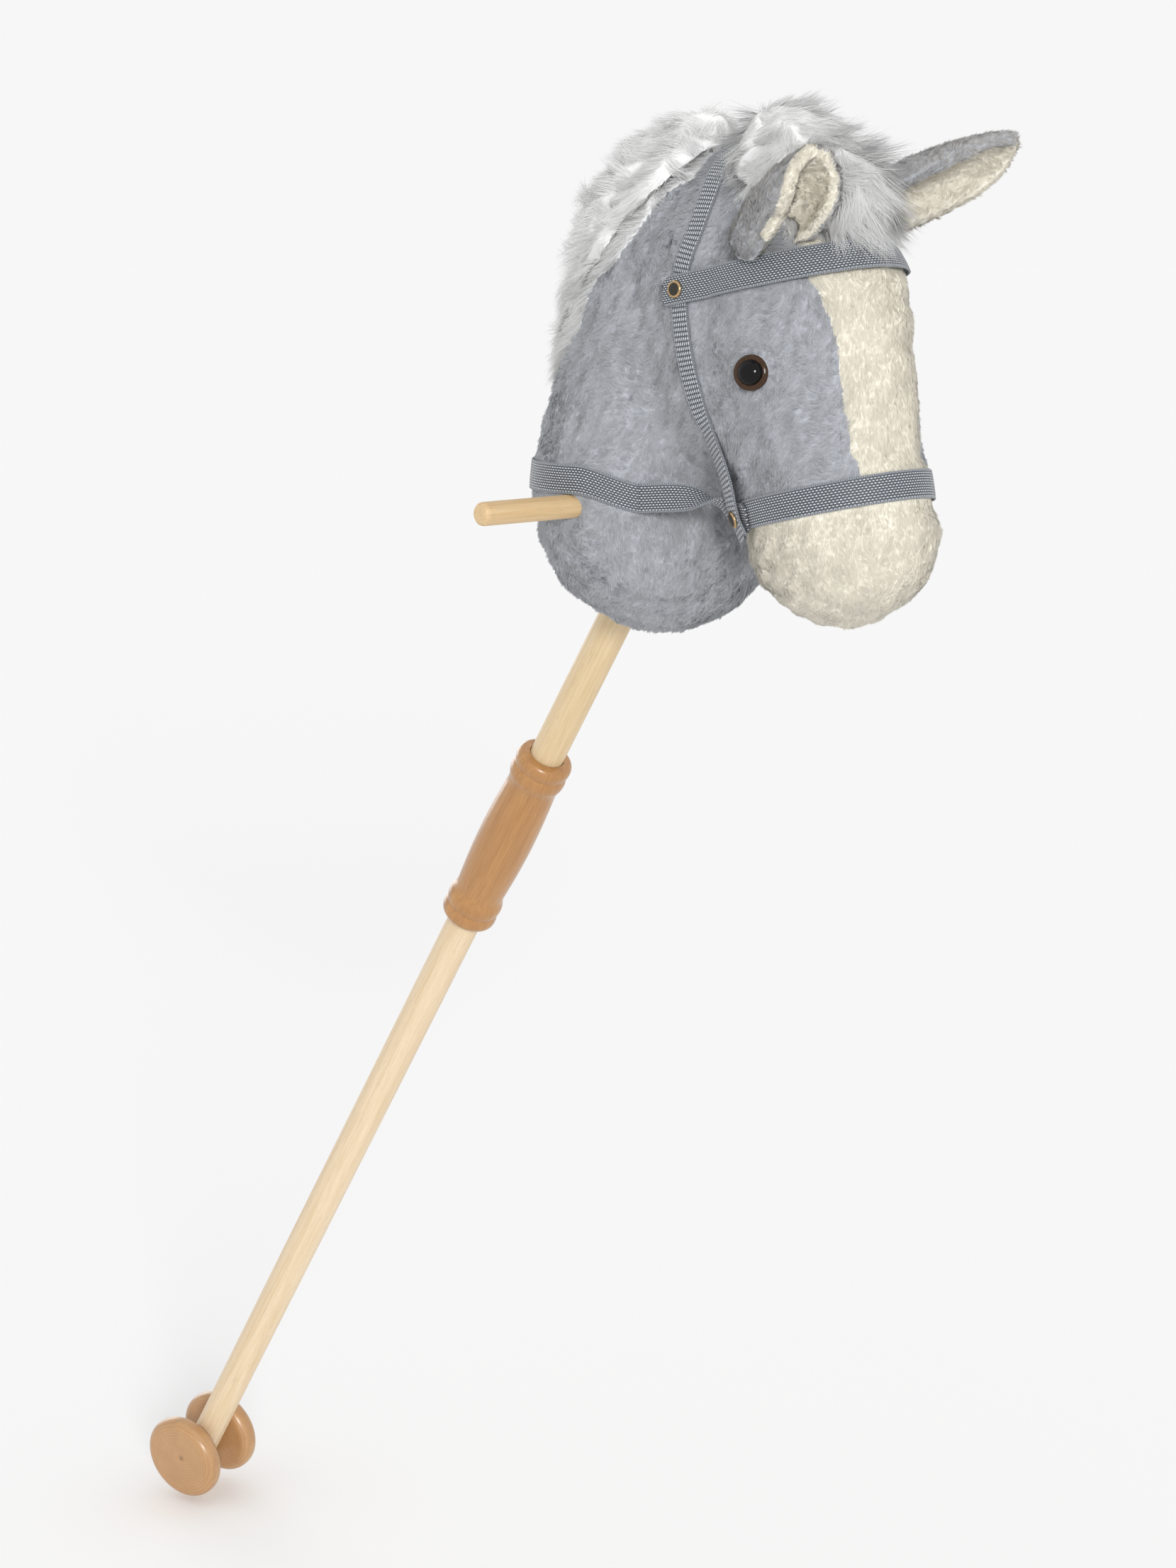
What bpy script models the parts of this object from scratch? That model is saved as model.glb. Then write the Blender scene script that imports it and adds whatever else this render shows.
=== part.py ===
# Hobby horse: a stuffed plush horse head on a two-part wooden pole, with a
# crossbar to hold, a turned grip, a webbing bridle and two wheels on one axle.
# Metres, +Z up. The horse looks along +X, and the origin is the middle of the grip.

import math

import bmesh
import bpy
from mathutils import Matrix, Vector
from mathutils.bvhtree import BVHTree

MM = 0.001

# Clearances
SEAT_GAP = 0.3 * MM
STRAP_GAP = 0.6 * MM
SOCKET_GAP = 0.4 * MM

# Pole
POLE_TILT = math.radians(33.9)
POLE_RADIUS = 10 * MM
POLE_EDGE = 1.5 * MM
BAR_ABOVE_GRIP = 251 * MM
POLE_ABOVE_BAR = 70 * MM
AXLE_BELOW_GRIP = 575.5 * MM
POLE_BELOW_AXLE = 14 * MM
ROUND_SIDES = 28

# Turned grip
GRIP_LENGTH = 128 * MM
GRIP_SOCKET_DEPTH = 48 * MM
BEAD_RADIUS = 16.6 * MM
BEAD_WIDTH = 9.2 * MM
GROOVE_DEPTH = 1.6 * MM
BEAD_TURN = 65
GRIP_WAIST_RADIUS = 14.5 * MM
GRIP_BELLY_RADIUS = 16.4 * MM
GRIP_LIP_RADIUS = 13.2 * MM

# Crossbar
BAR_RADIUS = 6.2 * MM
BAR_HALF_LENGTH = 140.5 * MM
BAR_END_ROUND = 2.6 * MM

# Wheels
AXLE_TWIST = math.radians(16)
AXLE_RADIUS = 4 * MM
WHEEL_RADIUS = 29 * MM
WHEEL_THICKNESS = 14 * MM
WHEEL_EDGE = 6.2 * MM
WHEEL_SIDE_GAP = 1.9 * MM
WHEEL_BORE_DEPTH = 9 * MM

# Stuffed forms, in mm from the crossbar: height, middle, half depth, half width
NECK_SLICES = [
    (-76, -4, 0, 0), (-73, -4, 15, 19), (-66, -6, 28.5, 37), (-54, -8, 43, 56),
    (-40, -10, 52, 69), (-15, -11, 57.5, 81), (20, -9, 58.5, 81), (50, -7, 59, 71),
    (85, -3, 58, 61.5), (120, 6, 55, 56), (147, 19, 48, 46), (167, 29, 38, 34),
    (180, 38, 20, 18), (186, 42, 0, 0),
]
FACE_SLICES = [
    (-57, 118, 0, 0), (-52, 118, 18, 15), (-46, 119, 30, 25), (-38, 120, 38, 33),
    (-27, 120, 46, 39), (-12, 119, 52, 44), (5, 114, 55, 46), (30, 98, 65, 49),
    (62, 88, 70, 52), (89, 84, 71, 53), (112, 86, 66, 51), (130, 80, 59, 48),
    (148, 72, 51, 42), (164, 65, 40, 33), (176, 58, 26, 20), (182, 56, 0, 0),
]
CHEEK_SLICES = [
    (4, 48, 0, 0), (8, 50, 24, 22), (18, 52, 46, 36), (34, 50, 62, 46),
    (60, 47, 74, 53), (89, 45, 79, 56), (112, 46, 80, 55), (131, 45, 76, 53.5),
    (148, 46, 66, 46), (164, 46, 50, 36), (176, 47, 30, 24), (183, 48, 0, 0),
]
FORM_SIDES = 14

# Mane and forelock, in mm: x, z, slope of the run from vertical, reach outwards,
# half width, and the reach inwards as a share of the outward one
MANE_RINGS = [
    (-20, 56, 0, 0, 0), (-16, 60, 0, 46, 44), (-9, 75, 0, 61, 57), (-6, 98, 0, 63, 55),
    (-4, 117, 3, 61, 54), (-1, 134, 10, 61, 51), (6, 145, 25, 62, 47), (14, 151, 45, 57, 43),
    (22, 155, 62, 49, 40), (28, 158, 75, 48, 36), (34, 160, 85, 47, 32), (37, 161, 90, 34, 22),
    (38.5, 161, 90, 0, 0),
]
FORELOCK_RINGS = [
    (57, 165, 90, 0, 0), (58.5, 165, 90, 36, 21), (66, 166, 93, 43, 30), (76, 163, 100, 46, 33),
    (88, 158, 112, 42, 34), (98, 151, 122, 42, 33), (107, 143, 132, 45, 30), (115, 135, 143, 38, 25),
    (120, 129, 148, 24, 16), (122.5, 125.5, 148, 0, 0),
]
HAIR_INNER = 0.12
HAIR_SIDES = 12

# Seams of the face, in mm: the nose seam's height at the axis and its rise to the
# front, and the blaze's edge from the nose to the poll
NOSE_SEAM_HEIGHT = 4 * MM
NOSE_SEAM_AT = 110 * MM
NOSE_SEAM_RISE = math.radians(13)
BLAZE_EDGE = [(158, -20), (155, 21), (148, 37), (143, 64), (139, 90), (130, 113),
              (112, 141), (92, 166), (80, 190)]

# Ears: the middle of each base in mm, where the ear points, where its hollow looks,
# its length and radius, and half the arc of its cup at the base and at the tip
EARS = {
    "left": ((98, 42, 156), (0.85, 0.40, 0.31), (0.55, -0.30, -0.80), 80 * MM, 16.5 * MM, 112, 62),
    "right": ((95.5, -40, 143), (0.79, 0, 0.60), (0.87, -0.08, -0.41), 54 * MM, 15 * MM, 150, 105),
}
EAR_SUNK = 8 * MM
EAR_SHELL = 4 * MM
EAR_LINING = 2.5 * MM
EAR_ROOM = 2.5 * MM

# Eyes
EYE_AT = (103 * MM, 72 * MM)
EYE_TURN = math.radians(27)
EYE_RADIUS = 9 * MM
EYE_RIM = 1.2 * MM
EYE_DOME = 5.2 * MM
EYE_SUNK = 1.6 * MM
SHANK_RADIUS = 2 * MM
SHANK_LENGTH = 14 * MM
LOCK_RADIUS = 8 * MM
LOCK_THICKNESS = 1.6 * MM
LOCK_DEPTH = 7 * MM

# Webbing and rivets
STRAP_THICKNESS = 1.2 * MM
WIDE_STRAP = 15 * MM
NARROW_STRAP = 10 * MM
BROW_RIVET = (56 * MM, 112 * MM)
BIT_RIVET = (89 * MM, -1 * MM)
BROW_RISE = 0.19
BROW_CENTRE = 84 * MM
STRAP_TAIL = 8 * MM
RIVET_RADIUS = 4.5 * MM
RIVET_DOME = 1.5 * MM
RIVET_POST = 1.5 * MM
RIVET_BACK = 0.8 * MM
REIN_HEIGHT = 14.1 * MM
REIN_LANDING = 5 * MM
REIN_BOW = 4.5 * MM
REIN_CENTRE = -9 * MM

# The headpiece's run up one flank, in mm: x, z, and how many straps lie under it.
# Over the poll it goes round an axis a little above the run's end, also in mm.
HEADPIECE_RUN = [(95, -12, 2.6), (91.5, -6, 2.6), (89, -1, 2.6), (88, 7, 2.6), (86, 16, 2), (81, 25, 1),
                 (72, 38, 0), (66, 51, 0), (63, 64, 0), (60, 80, 0), (58, 96, 0), (56, 112, 0),
                 (57.5, 125, 0), (60, 136, 0)]
POLL_SIDE = 61 * MM
POLL_TOP = 45 * MM
POLL_RISE = 9
POLL_AXIS_HEIGHT = (HEADPIECE_RUN[-1][1] + POLL_RISE) * MM

COLOURS = {
    "pale_wood": ((0.78, 0.62, 0.40), 0.55, 0.0),
    "honey_wood": ((0.66, 0.38, 0.17), 0.30, 0.0),
    "grey_plush": ((0.36, 0.37, 0.42), 0.95, 0.0),
    "cream_plush": ((0.80, 0.74, 0.60), 0.95, 0.0),
    "white_pile": ((0.86, 0.86, 0.86), 0.95, 0.0),
    "grey_webbing": ((0.16, 0.18, 0.21), 0.80, 0.0),
    "eye_plastic": ((0.02, 0.012, 0.008), 0.08, 0.0),
    "lock_plastic": ((0.75, 0.75, 0.72), 0.40, 0.0),
    "rivet_metal": ((0.62, 0.60, 0.56), 0.25, 1.0),
}


# Scene helpers

def clear_scene():
    for old in list(bpy.data.objects):
        bpy.data.objects.remove(old, do_unlink=True)
    for name in ("hobby_horse", "cutters"):
        found = bpy.data.collections.get(name)
        if found:
            bpy.data.collections.remove(found)


def new_collection(name):
    made = bpy.data.collections.new(name)
    bpy.context.scene.collection.children.link(made)
    return made


def finish_material(name):
    colour, roughness, metallic = COLOURS[name]
    made = bpy.data.materials.get(name) or bpy.data.materials.new(name)
    made.use_nodes = True
    shader = made.node_tree.nodes["Principled BSDF"]
    shader.inputs["Base Color"].default_value = (*colour, 1.0)
    shader.inputs["Roughness"].default_value = roughness
    shader.inputs["Metallic"].default_value = metallic
    made.diffuse_color = (*colour, 1.0)
    return made


def empty(name, parent=None, location=(0, 0, 0), rotation=(0, 0, 0)):
    made = bpy.data.objects.new(name, None)
    made.location = location
    made.rotation_euler = rotation
    made.parent = parent
    PARTS.objects.link(made)
    return made


def part(name, mesh, material, parent, location=(0, 0, 0), smooth=40):
    made = bpy.data.objects.new(name, mesh)
    mesh.materials.clear()
    mesh.materials.append(finish_material(material))
    mesh.shade_smooth()
    mesh.set_sharp_from_angle(angle=math.radians(smooth))
    made.location = location
    made.parent = parent
    PARTS.objects.link(made)
    return made


def cutter(name, mesh, parent, location=(0, 0, 0)):
    made = bpy.data.objects.new(name, mesh)
    made.location = location
    made.parent = parent
    made.hide_render = True
    made.display_type = "WIRE"
    CUTTERS.objects.link(made)
    return made


def boolean(target, tool, operation="DIFFERENCE"):
    step = target.modifiers.new(f"{operation.lower()}_{tool.name}", "BOOLEAN")
    step.operation = operation
    step.solver = "EXACT"
    step.object = tool


def mesh_from(name, bm):
    bmesh.ops.recalc_face_normals(bm, faces=bm.faces)
    mesh = bpy.data.meshes.new(name)
    bm.to_mesh(mesh)
    bm.free()
    return mesh


# Shapes

def rod_mesh(name, radius, low, high, axis="Z", sides=ROUND_SIDES, edge=0.0):
    """A round bar from low to high along an axis, with its rims rounded by edge."""
    bm = bmesh.new()
    bmesh.ops.create_cone(bm, cap_ends=True, segments=sides, radius1=radius, radius2=radius,
                          depth=high - low)
    bmesh.ops.translate(bm, verts=bm.verts, vec=(0, 0, (low + high) / 2))
    if edge:
        rims = [e for e in bm.edges if len(e.link_faces) == 2
                and any(len(f.verts) > 4 for f in e.link_faces)]
        bmesh.ops.bevel(bm, geom=rims, offset=edge, segments=3, profile=0.5, affect="EDGES")
    if axis == "Y":
        bmesh.ops.rotate(bm, verts=bm.verts, matrix=Matrix.Rotation(math.radians(90), 3, "X"))
    return mesh_from(name, bm)


def turned_mesh(name, profile, closed=False):
    """The edge line of a turned piece, as (radius, height) from its top to its foot."""
    mesh = bpy.data.meshes.new(name)
    points = [(radius, 0, height) for radius, height in profile]
    edges = [(i, i + 1) for i in range(len(points) - 1)]
    if closed:
        edges.append((len(points) - 1, 0))
    mesh.from_pydata(points, edges, [])
    return mesh


def spin(target, steps=ROUND_SIDES):
    """Turn a profile round its object's Z axis."""
    turn = target.modifiers.new("turning", "SCREW")
    turn.steps = steps
    turn.render_steps = steps
    turn.use_merge_vertices = True
    turn.merge_threshold = 0.00001
    turn.use_smooth_shade = True


def arc(centre, radius, start, end, steps):
    """Points of a circle in a profile, with angles in degrees from +radius."""
    angles = [math.radians(start + (end - start) * i / steps) for i in range(steps + 1)]
    return [(centre[0] + radius * math.cos(a), centre[1] + radius * math.sin(a)) for a in angles]


def form_mesh(name, rings, grow=0.0, sides=FORM_SIDES, inner=1.0):
    """A stuffed form from a sphere whose rings take the table's places and sizes.

    A ring is x, z, slope, half depth and half width in mm, with its side towards the
    slope's front drawn in to the inner share. The sphere's cage lies a little outside
    the size asked for, because subdivision draws it in.
    """
    bm = bmesh.new()
    bands = len(rings) - 1
    bmesh.ops.create_uvsphere(bm, u_segments=sides, v_segments=bands, radius=1)
    draw_in = (6 + 2 * math.cos(2 * math.pi / sides)) / 8
    for vert in bm.verts:
        row = round((1 - math.acos(max(-1, min(1, vert.co.z))) / math.pi) * bands)
        x, z, slope, depth, width = rings[row]
        lean = math.radians(slope)
        turn = math.atan2(vert.co.y, vert.co.x)
        end = grow if row in (0, bands) else 0.0
        step = -end if row == 0 else end
        reach = (depth * MM + grow) / draw_in * math.cos(turn) if depth else 0.0
        reach *= inner if reach > 0 else 1.0
        side = (width * MM + grow) / draw_in * math.sin(turn) if width else 0.0
        vert.co = Vector((x * MM + reach * math.cos(lean) + step * math.sin(lean), side,
                          z * MM - reach * math.sin(lean) + step * math.cos(lean)))
    return mesh_from(name, bm)


def soften(target):
    """Round a stuffed form's cage."""
    step = target.modifiers.new("softening", "SUBSURF")
    step.levels = 1
    step.render_levels = 1


def upright(slices):
    """Level slices (height, middle, half depth, half width) as rings."""
    return [(middle, height, 0, depth, width) for height, middle, depth, width in slices]


def sheet_mesh(name, rows):
    """A mesh of quads through rows of points."""
    count = len(rows[0])
    points = [point for row in rows for point in row]
    faces = [(r * count + c, r * count + c + 1, (r + 1) * count + c + 1, (r + 1) * count + c)
             for r in range(len(rows) - 1) for c in range(count - 1)]
    mesh = bpy.data.meshes.new(name)
    mesh.from_pydata(points, [], faces)
    return mesh


def tube_mesh(name, rows):
    """A closed tube through rows of points whose first and last points meet."""
    bm = bmesh.new()
    loops = [[bm.verts.new(point) for point in row[:-1]] for row in rows]
    count = len(loops[0])
    for low, high in zip(loops, loops[1:]):
        for i in range(count):
            bm.faces.new((low[i], low[(i + 1) % count], high[(i + 1) % count], high[i]))
    bm.faces.new(loops[0])
    bm.faces.new(loops[-1])
    return mesh_from(name, bm)


def thicken(target, thickness, side=1.0):
    """Give a sheet its thickness towards the side that its faces look to."""
    step = target.modifiers.new("thickness", "SOLIDIFY")
    step.thickness = thickness
    step.offset = side
    step.use_even_offset = False


# Pole, grip, crossbar

def pole_pieces(frame):
    socket_end = GRIP_LENGTH / 2 - GRIP_SOCKET_DEPTH
    top = BAR_ABOVE_GRIP + POLE_ABOVE_BAR
    foot = -AXLE_BELOW_GRIP - POLE_BELOW_AXLE
    upper = part("upper_pole", rod_mesh("upper_pole", POLE_RADIUS, socket_end + SEAT_GAP, top,
                                        edge=POLE_EDGE), "pale_wood", frame)
    lower = part("lower_pole", rod_mesh("lower_pole", POLE_RADIUS, foot, -socket_end - SEAT_GAP,
                                        edge=POLE_EDGE), "pale_wood", frame)
    return upper, lower


def grip_piece(frame):
    half = GRIP_LENGTH / 2
    bore = POLE_RADIUS + SOCKET_GAP
    socket_end = half - GRIP_SOCKET_DEPTH
    groove = BEAD_RADIUS - GROOVE_DEPTH
    lip_round = BEAD_WIDTH / 2

    def bead(top, first):
        """A rounded ring below the height top; the first one curls over to the lip."""
        middle = top - BEAD_WIDTH / 2
        start = 90 if first else BEAD_TURN
        points = []
        for i in range(6):
            angle = math.radians(start - (start + BEAD_TURN) * i / 5)
            inner = GRIP_LIP_RADIUS if first and angle > 0 else groove
            radius = inner + (BEAD_RADIUS - inner) * math.cos(angle)
            points.append((radius, middle + lip_round * math.sin(angle)))
        return points

    upper = bead(half, True) + bead(half - BEAD_WIDTH, False)
    lower = [(radius, -height) for radius, height in reversed(upper)]
    belly_half = half - 2 * BEAD_WIDTH
    belly = []
    for i in range(1, 8):
        height = belly_half * (1 - i / 4)
        swell = math.cos(math.pi / 2 * height / belly_half)
        belly.append((GRIP_WAIST_RADIUS + (GRIP_BELLY_RADIUS - GRIP_WAIST_RADIUS) * swell, height))
    profile = ([(0, socket_end), (bore, socket_end), (bore, half)]
               + upper + belly + lower
               + [(bore, -half), (bore, -socket_end), (0, -socket_end)])
    grip = part("turned_grip", turned_mesh("turned_grip", profile), "honey_wood", frame)
    spin(grip, 26)


def crossbar_piece(frame):
    bar = rod_mesh("crossbar", BAR_RADIUS, -BAR_HALF_LENGTH, BAR_HALF_LENGTH, "Y",
                   edge=BAR_END_ROUND)
    part("crossbar", bar, "pale_wood", frame, (0, 0, BAR_ABOVE_GRIP))


# Wheels

def wheel_pieces(axle_frame):
    inner = POLE_RADIUS + WHEEL_SIDE_GAP
    outer = inner + WHEEL_THICKNESS
    bore_end = inner + WHEEL_BORE_DEPTH
    axle = rod_mesh("axle", AXLE_RADIUS, -bore_end + SEAT_GAP, bore_end - SEAT_GAP, "Y", sides=24)
    part("axle", axle, "pale_wood", axle_frame)
    bore = AXLE_RADIUS + SEAT_GAP
    rim = WHEEL_RADIUS - WHEEL_EDGE
    profile = ([(0, outer)] + arc((rim, outer - WHEEL_EDGE), WHEEL_EDGE, 90, 0, 5)
               + arc((rim, inner + WHEEL_EDGE), WHEEL_EDGE, 0, -90, 5)
               + [(bore, inner), (bore, bore_end), (0, bore_end)])
    for name, turn in (("wheel_left", -90), ("wheel_right", 90)):
        wheel = part(name, turned_mesh(name, profile), "honey_wood", axle_frame)
        wheel.rotation_euler = (math.radians(turn), 0, 0)
        spin(wheel, 32)


# Stuffed head

def build_forms(frame):
    """The uncut forms as cutters: their own size, and grown by the seat's gap."""
    made = {}
    for name, slices in (("neck", NECK_SLICES), ("face", FACE_SLICES), ("cheek", CHEEK_SLICES)):
        for suffix, grow in (("form", 0.0), ("grown", SEAT_GAP)):
            mesh = form_mesh(f"{name}_{suffix}", upright(slices), grow)
            tool = cutter(f"{name}_{suffix}", mesh, frame)
            soften(tool)
            made[f"{name}_{suffix}"] = tool
    return made


def half_space(name, frame, lift, above):
    """A big box whose face is the nose seam's plane, moved by lift."""
    bm = bmesh.new()
    reach = 0.4
    bmesh.ops.create_cube(bm, size=reach)
    bmesh.ops.translate(bm, verts=bm.verts, vec=(0, 0, reach / 2 if above else -reach / 2))
    tool = cutter(name, mesh_from(name, bm), frame,
                  (NOSE_SEAM_AT, 0, NOSE_SEAM_HEIGHT + lift))
    tool.rotation_euler = (0, -NOSE_SEAM_RISE, 0)
    return tool


def blaze_region(name, frame, shift):
    """The space in front of the blaze's edge, as a flat outline pulled to both sides."""
    reach = 0.4
    edge = [(x * MM + shift, z * MM) for x, z in BLAZE_EDGE]
    outline = edge + [(reach, edge[-1][1]), (reach, edge[0][1])]
    curve = bpy.data.curves.new(name, "CURVE")
    curve.dimensions = "2D"
    curve.fill_mode = "BOTH"
    curve.extrude = reach / 2
    spline = curve.splines.new("POLY")
    spline.points.add(len(outline) - 1)
    for point, (x, z) in zip(spline.points, outline):
        point.co = (x, z, 0, 1)
    spline.use_cyclic_u = True
    drawn = bpy.data.objects.new(name + "_outline", curve)
    CUTTERS.objects.link(drawn)
    bpy.context.view_layer.update()
    mesh = bpy.data.meshes.new_from_object(drawn.evaluated_get(bpy.context.evaluated_depsgraph_get()))
    bpy.data.objects.remove(drawn, do_unlink=True)
    bm = bmesh.new()
    bm.from_mesh(mesh)
    bmesh.ops.remove_doubles(bm, verts=bm.verts, dist=0.00001)
    bmesh.ops.rotate(bm, verts=bm.verts, matrix=Matrix.Rotation(math.radians(90), 3, "X"))
    return cutter(name, mesh_from(name, bm), frame)


def stuffed_part(name, slices, material, frame):
    made = part(name, form_mesh(name, upright(slices)), material, frame, smooth=180)
    soften(made)
    return made


def head_pieces(frame, forms, bored):
    """Neck, head, muzzle and blaze, each cut back from the larger ones."""
    neck = stuffed_part("neck", NECK_SLICES, "grey_plush", frame)
    for tool in bored:
        boolean(neck, tool)
    head = stuffed_part("head", FACE_SLICES, "grey_plush", frame)
    boolean(head, forms["cheek_form"], "UNION")
    boolean(head, half_space("below_nose_seam", frame, SEAT_GAP / 2, False))
    boolean(head, blaze_region("blaze_side", frame, -SEAT_GAP))
    boolean(head, forms["neck_grown"])
    blaze = stuffed_part("blaze", FACE_SLICES, "cream_plush", frame)
    boolean(blaze, half_space("under_blaze", frame, SEAT_GAP / 2, False))
    boolean(blaze, blaze_region("blaze_front", frame, 0.0), "INTERSECT")
    muzzle = stuffed_part("muzzle", FACE_SLICES, "cream_plush", frame)
    boolean(muzzle, half_space("above_nose_seam", frame, -SEAT_GAP / 2, True))
    boolean(muzzle, forms["neck_grown"])
    return neck, head, blaze, muzzle


def hair_pieces(frame, forms, ear_rooms):
    for name, rings in (("mane", MANE_RINGS), ("forelock", FORELOCK_RINGS)):
        mesh = form_mesh(name, rings, sides=HAIR_SIDES, inner=HAIR_INNER)
        made = part(name, mesh, "white_pile", frame, smooth=180)
        soften(made)
        for tool in ("neck_grown", "face_grown", "cheek_grown"):
            boolean(made, forms[tool])
        boolean(made, forms["poll_room"])
        if name == "forelock":
            for tool in (forms["brow_room"], *ear_rooms):
                boolean(made, tool)


def ear_pieces(frame, forms):
    """Each ear is a cupped leaf of plush with a lining, cut where it meets the head."""
    rooms = []
    for side, (base, axis, look, length, size, closed, opened) in EARS.items():
        axis = Vector(axis).normalized()
        look = Vector(look)
        opening = (look - axis * look.dot(axis)).normalized()
        wide = axis.cross(opening)

        def leaf(inset, whole=False):
            """Rows of a cupped leaf, or of a whole tube around it."""
            rows = []
            for i in range(10):
                run = i / 9
                along = (length + EAR_SUNK) * run - EAR_SUNK - (EAR_ROOM if whole and i == 0 else 0)
                fullness = 0.66 + 0.40 * math.sin(math.pi * min(run / 1.12, 1.0)) ** 0.8
                tip = math.sqrt(max(0.0, 1 - (max(0.0, run - 0.60) / 0.41) ** 2.2))
                cup = math.radians(opened + (closed - opened) * (1 - run) ** 0.8) * max(tip, 0.06)
                half = math.pi if whole else cup
                radius = size * fullness - inset
                middle = Vector(base) * MM + axis * along + opening * (size * 0.5)
                turns = [half * (1 - j / 4) for j in range(9)]
                rows.append([middle - opening * radius * math.cos(turn)
                             + wide * radius * math.sin(turn) for turn in turns])
            return rows

        for name, inset, thickness, material in (
                ("ear", 0.0, EAR_SHELL, "grey_plush"),
                ("ear_lining", SEAT_GAP, EAR_LINING, "cream_plush")):
            ear = part(f"{name}_{side}", sheet_mesh(f"{name}_{side}", leaf(inset)), material,
                       frame, smooth=60)
            thicken(ear, thickness, 1.0 if name == "ear" else -1.0)
            for tool in ("face_grown", "cheek_grown", "brow_room"):
                boolean(ear, forms[tool])
        room = tube_mesh(f"ear_room_{side}", leaf(-EAR_SHELL - EAR_ROOM, True))
        rooms.append(cutter(f"ear_room_{side}", room, frame))
    return rooms


class Skin:
    """The outside of the joined forms, found by rays from outside."""

    def __init__(self, forms):
        self.trees = {}
        for name in ("neck", "face", "cheek"):
            form = forms[f"{name}_form"]
            form.modifiers["softening"].levels = 3
            bpy.context.view_layer.update()
            shape = form.evaluated_get(bpy.context.evaluated_depsgraph_get()).to_mesh()
            points = [v.co.copy() for v in shape.vertices]
            faces = [tuple(p.vertices) for p in shape.polygons]
            self.trees[name] = BVHTree.FromPolygons(points, faces)
            form.modifiers["softening"].levels = 1

    def hit(self, start, direction, only=None):
        best = None
        for name, tree in self.trees.items():
            if only and name not in only:
                continue
            place, normal, _, distance = tree.ray_cast(start, direction)
            if place and (best is None or distance < best[2]):
                best = (place, normal, distance)
        return best[0], best[1]

    def side(self, x, z, sign, lift=0.0, only=None):
        """The point of one flank at x and z, lifted along its normal."""
        place, normal = self.hit(Vector((x, sign * 0.3, z)), Vector((0, -sign, 0)), only)
        return place + normal * lift, normal


def eye_pieces(frame, skin, head):
    for side, sign in (("left", 1), ("right", -1)):
        surface, _ = skin.side(*EYE_AT, sign)
        outward = Vector((math.sin(EYE_TURN), sign * math.cos(EYE_TURN), 0.12)).normalized()
        turn = outward.to_track_quat("Z", "Y").to_euler()
        place = surface - outward * EYE_SUNK
        dome = [(0, EYE_RIM + EYE_DOME)]
        for i in range(1, 6):
            angle = math.pi / 2 * (1 - i / 5)
            dome.append((EYE_RADIUS * 0.93 * math.cos(angle), EYE_RIM + EYE_DOME * math.sin(angle)))
        profile = dome + [(EYE_RADIUS, EYE_RIM), (EYE_RADIUS, 0), (SHANK_RADIUS, 0),
                          (SHANK_RADIUS, -SHANK_LENGTH), (0, -SHANK_LENGTH)]
        eye = part(f"eye_{side}", turned_mesh(f"eye_{side}", profile), "eye_plastic", frame, place)
        eye.rotation_euler = turn
        spin(eye, 20)
        hole = SHANK_RADIUS + SEAT_GAP
        ring = [(hole, -LOCK_DEPTH), (LOCK_RADIUS, -LOCK_DEPTH),
                (LOCK_RADIUS, -LOCK_DEPTH - LOCK_THICKNESS), (hole, -LOCK_DEPTH - LOCK_THICKNESS)]
        lock = part(f"eye_lock_{side}", turned_mesh(f"eye_lock_{side}", ring, True),
                    "lock_plastic", frame, place)
        lock.rotation_euler = turn
        spin(lock, 16)
        room = LOCK_RADIUS + SEAT_GAP
        top = -LOCK_DEPTH + SEAT_GAP
        low = -LOCK_DEPTH - LOCK_THICKNESS - SEAT_GAP
        seat = [(0, 0.02), (EYE_RADIUS + SEAT_GAP, 0.02), (EYE_RADIUS + SEAT_GAP, -SEAT_GAP),
                (hole, -SEAT_GAP), (hole, top), (room, top), (room, low), (hole, low),
                (hole, -SHANK_LENGTH - SEAT_GAP), (0, -SHANK_LENGTH - SEAT_GAP)]
        pocket = cutter(f"eye_socket_{side}", turned_mesh(f"eye_socket_{side}", seat), frame, place)
        pocket.rotation_euler = turn
        spin(pocket, 20)
        boolean(head, pocket)


# Bridle

def strap_layer(number):
    """How far a strap's inner face lies off the skin when it lies over others."""
    return STRAP_GAP + number * (STRAP_THICKNESS + STRAP_GAP)


def across(width):
    """Three places over a strap's width."""
    return [width * (i / 2 - 0.5) for i in range(3)]


def band_rows(skin, centre, height, rise, turn_from, turn_to, width, lift, steps):
    """A band round the face: rays towards an upright axis, in a plane that rises forward."""
    rows = []
    for i in range(steps + 1):
        turn = turn_from + (turn_to - turn_from) * i / steps
        out = Vector((math.cos(turn), math.sin(turn), 0))
        row = []
        for offset in reversed(across(width)):
            start = Vector((centre, 0, height + offset)) + out * 0.3
            ray = -out
            guess, _ = skin.hit(start, ray, ("face", "cheek"))
            start.z = height + offset + rise * (guess.x - centre)
            place, normal = skin.hit(start, ray, ("face", "cheek"))
            row.append(place + normal * lift)
        rows.append(row)
    return rows


def turn_of(skin, centre, spot, tail):
    """The angle at the upright axis of a rivet's place, moved back by a tail."""
    place, _ = skin.side(spot[0] - tail, spot[1], 1)
    return math.atan2(place.y, place.x - centre)


def strap(name, rows, frame):
    made = part(name, sheet_mesh(name, rows), "grey_webbing", frame, smooth=60)
    thicken(made, STRAP_THICKNESS)
    return made


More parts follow.
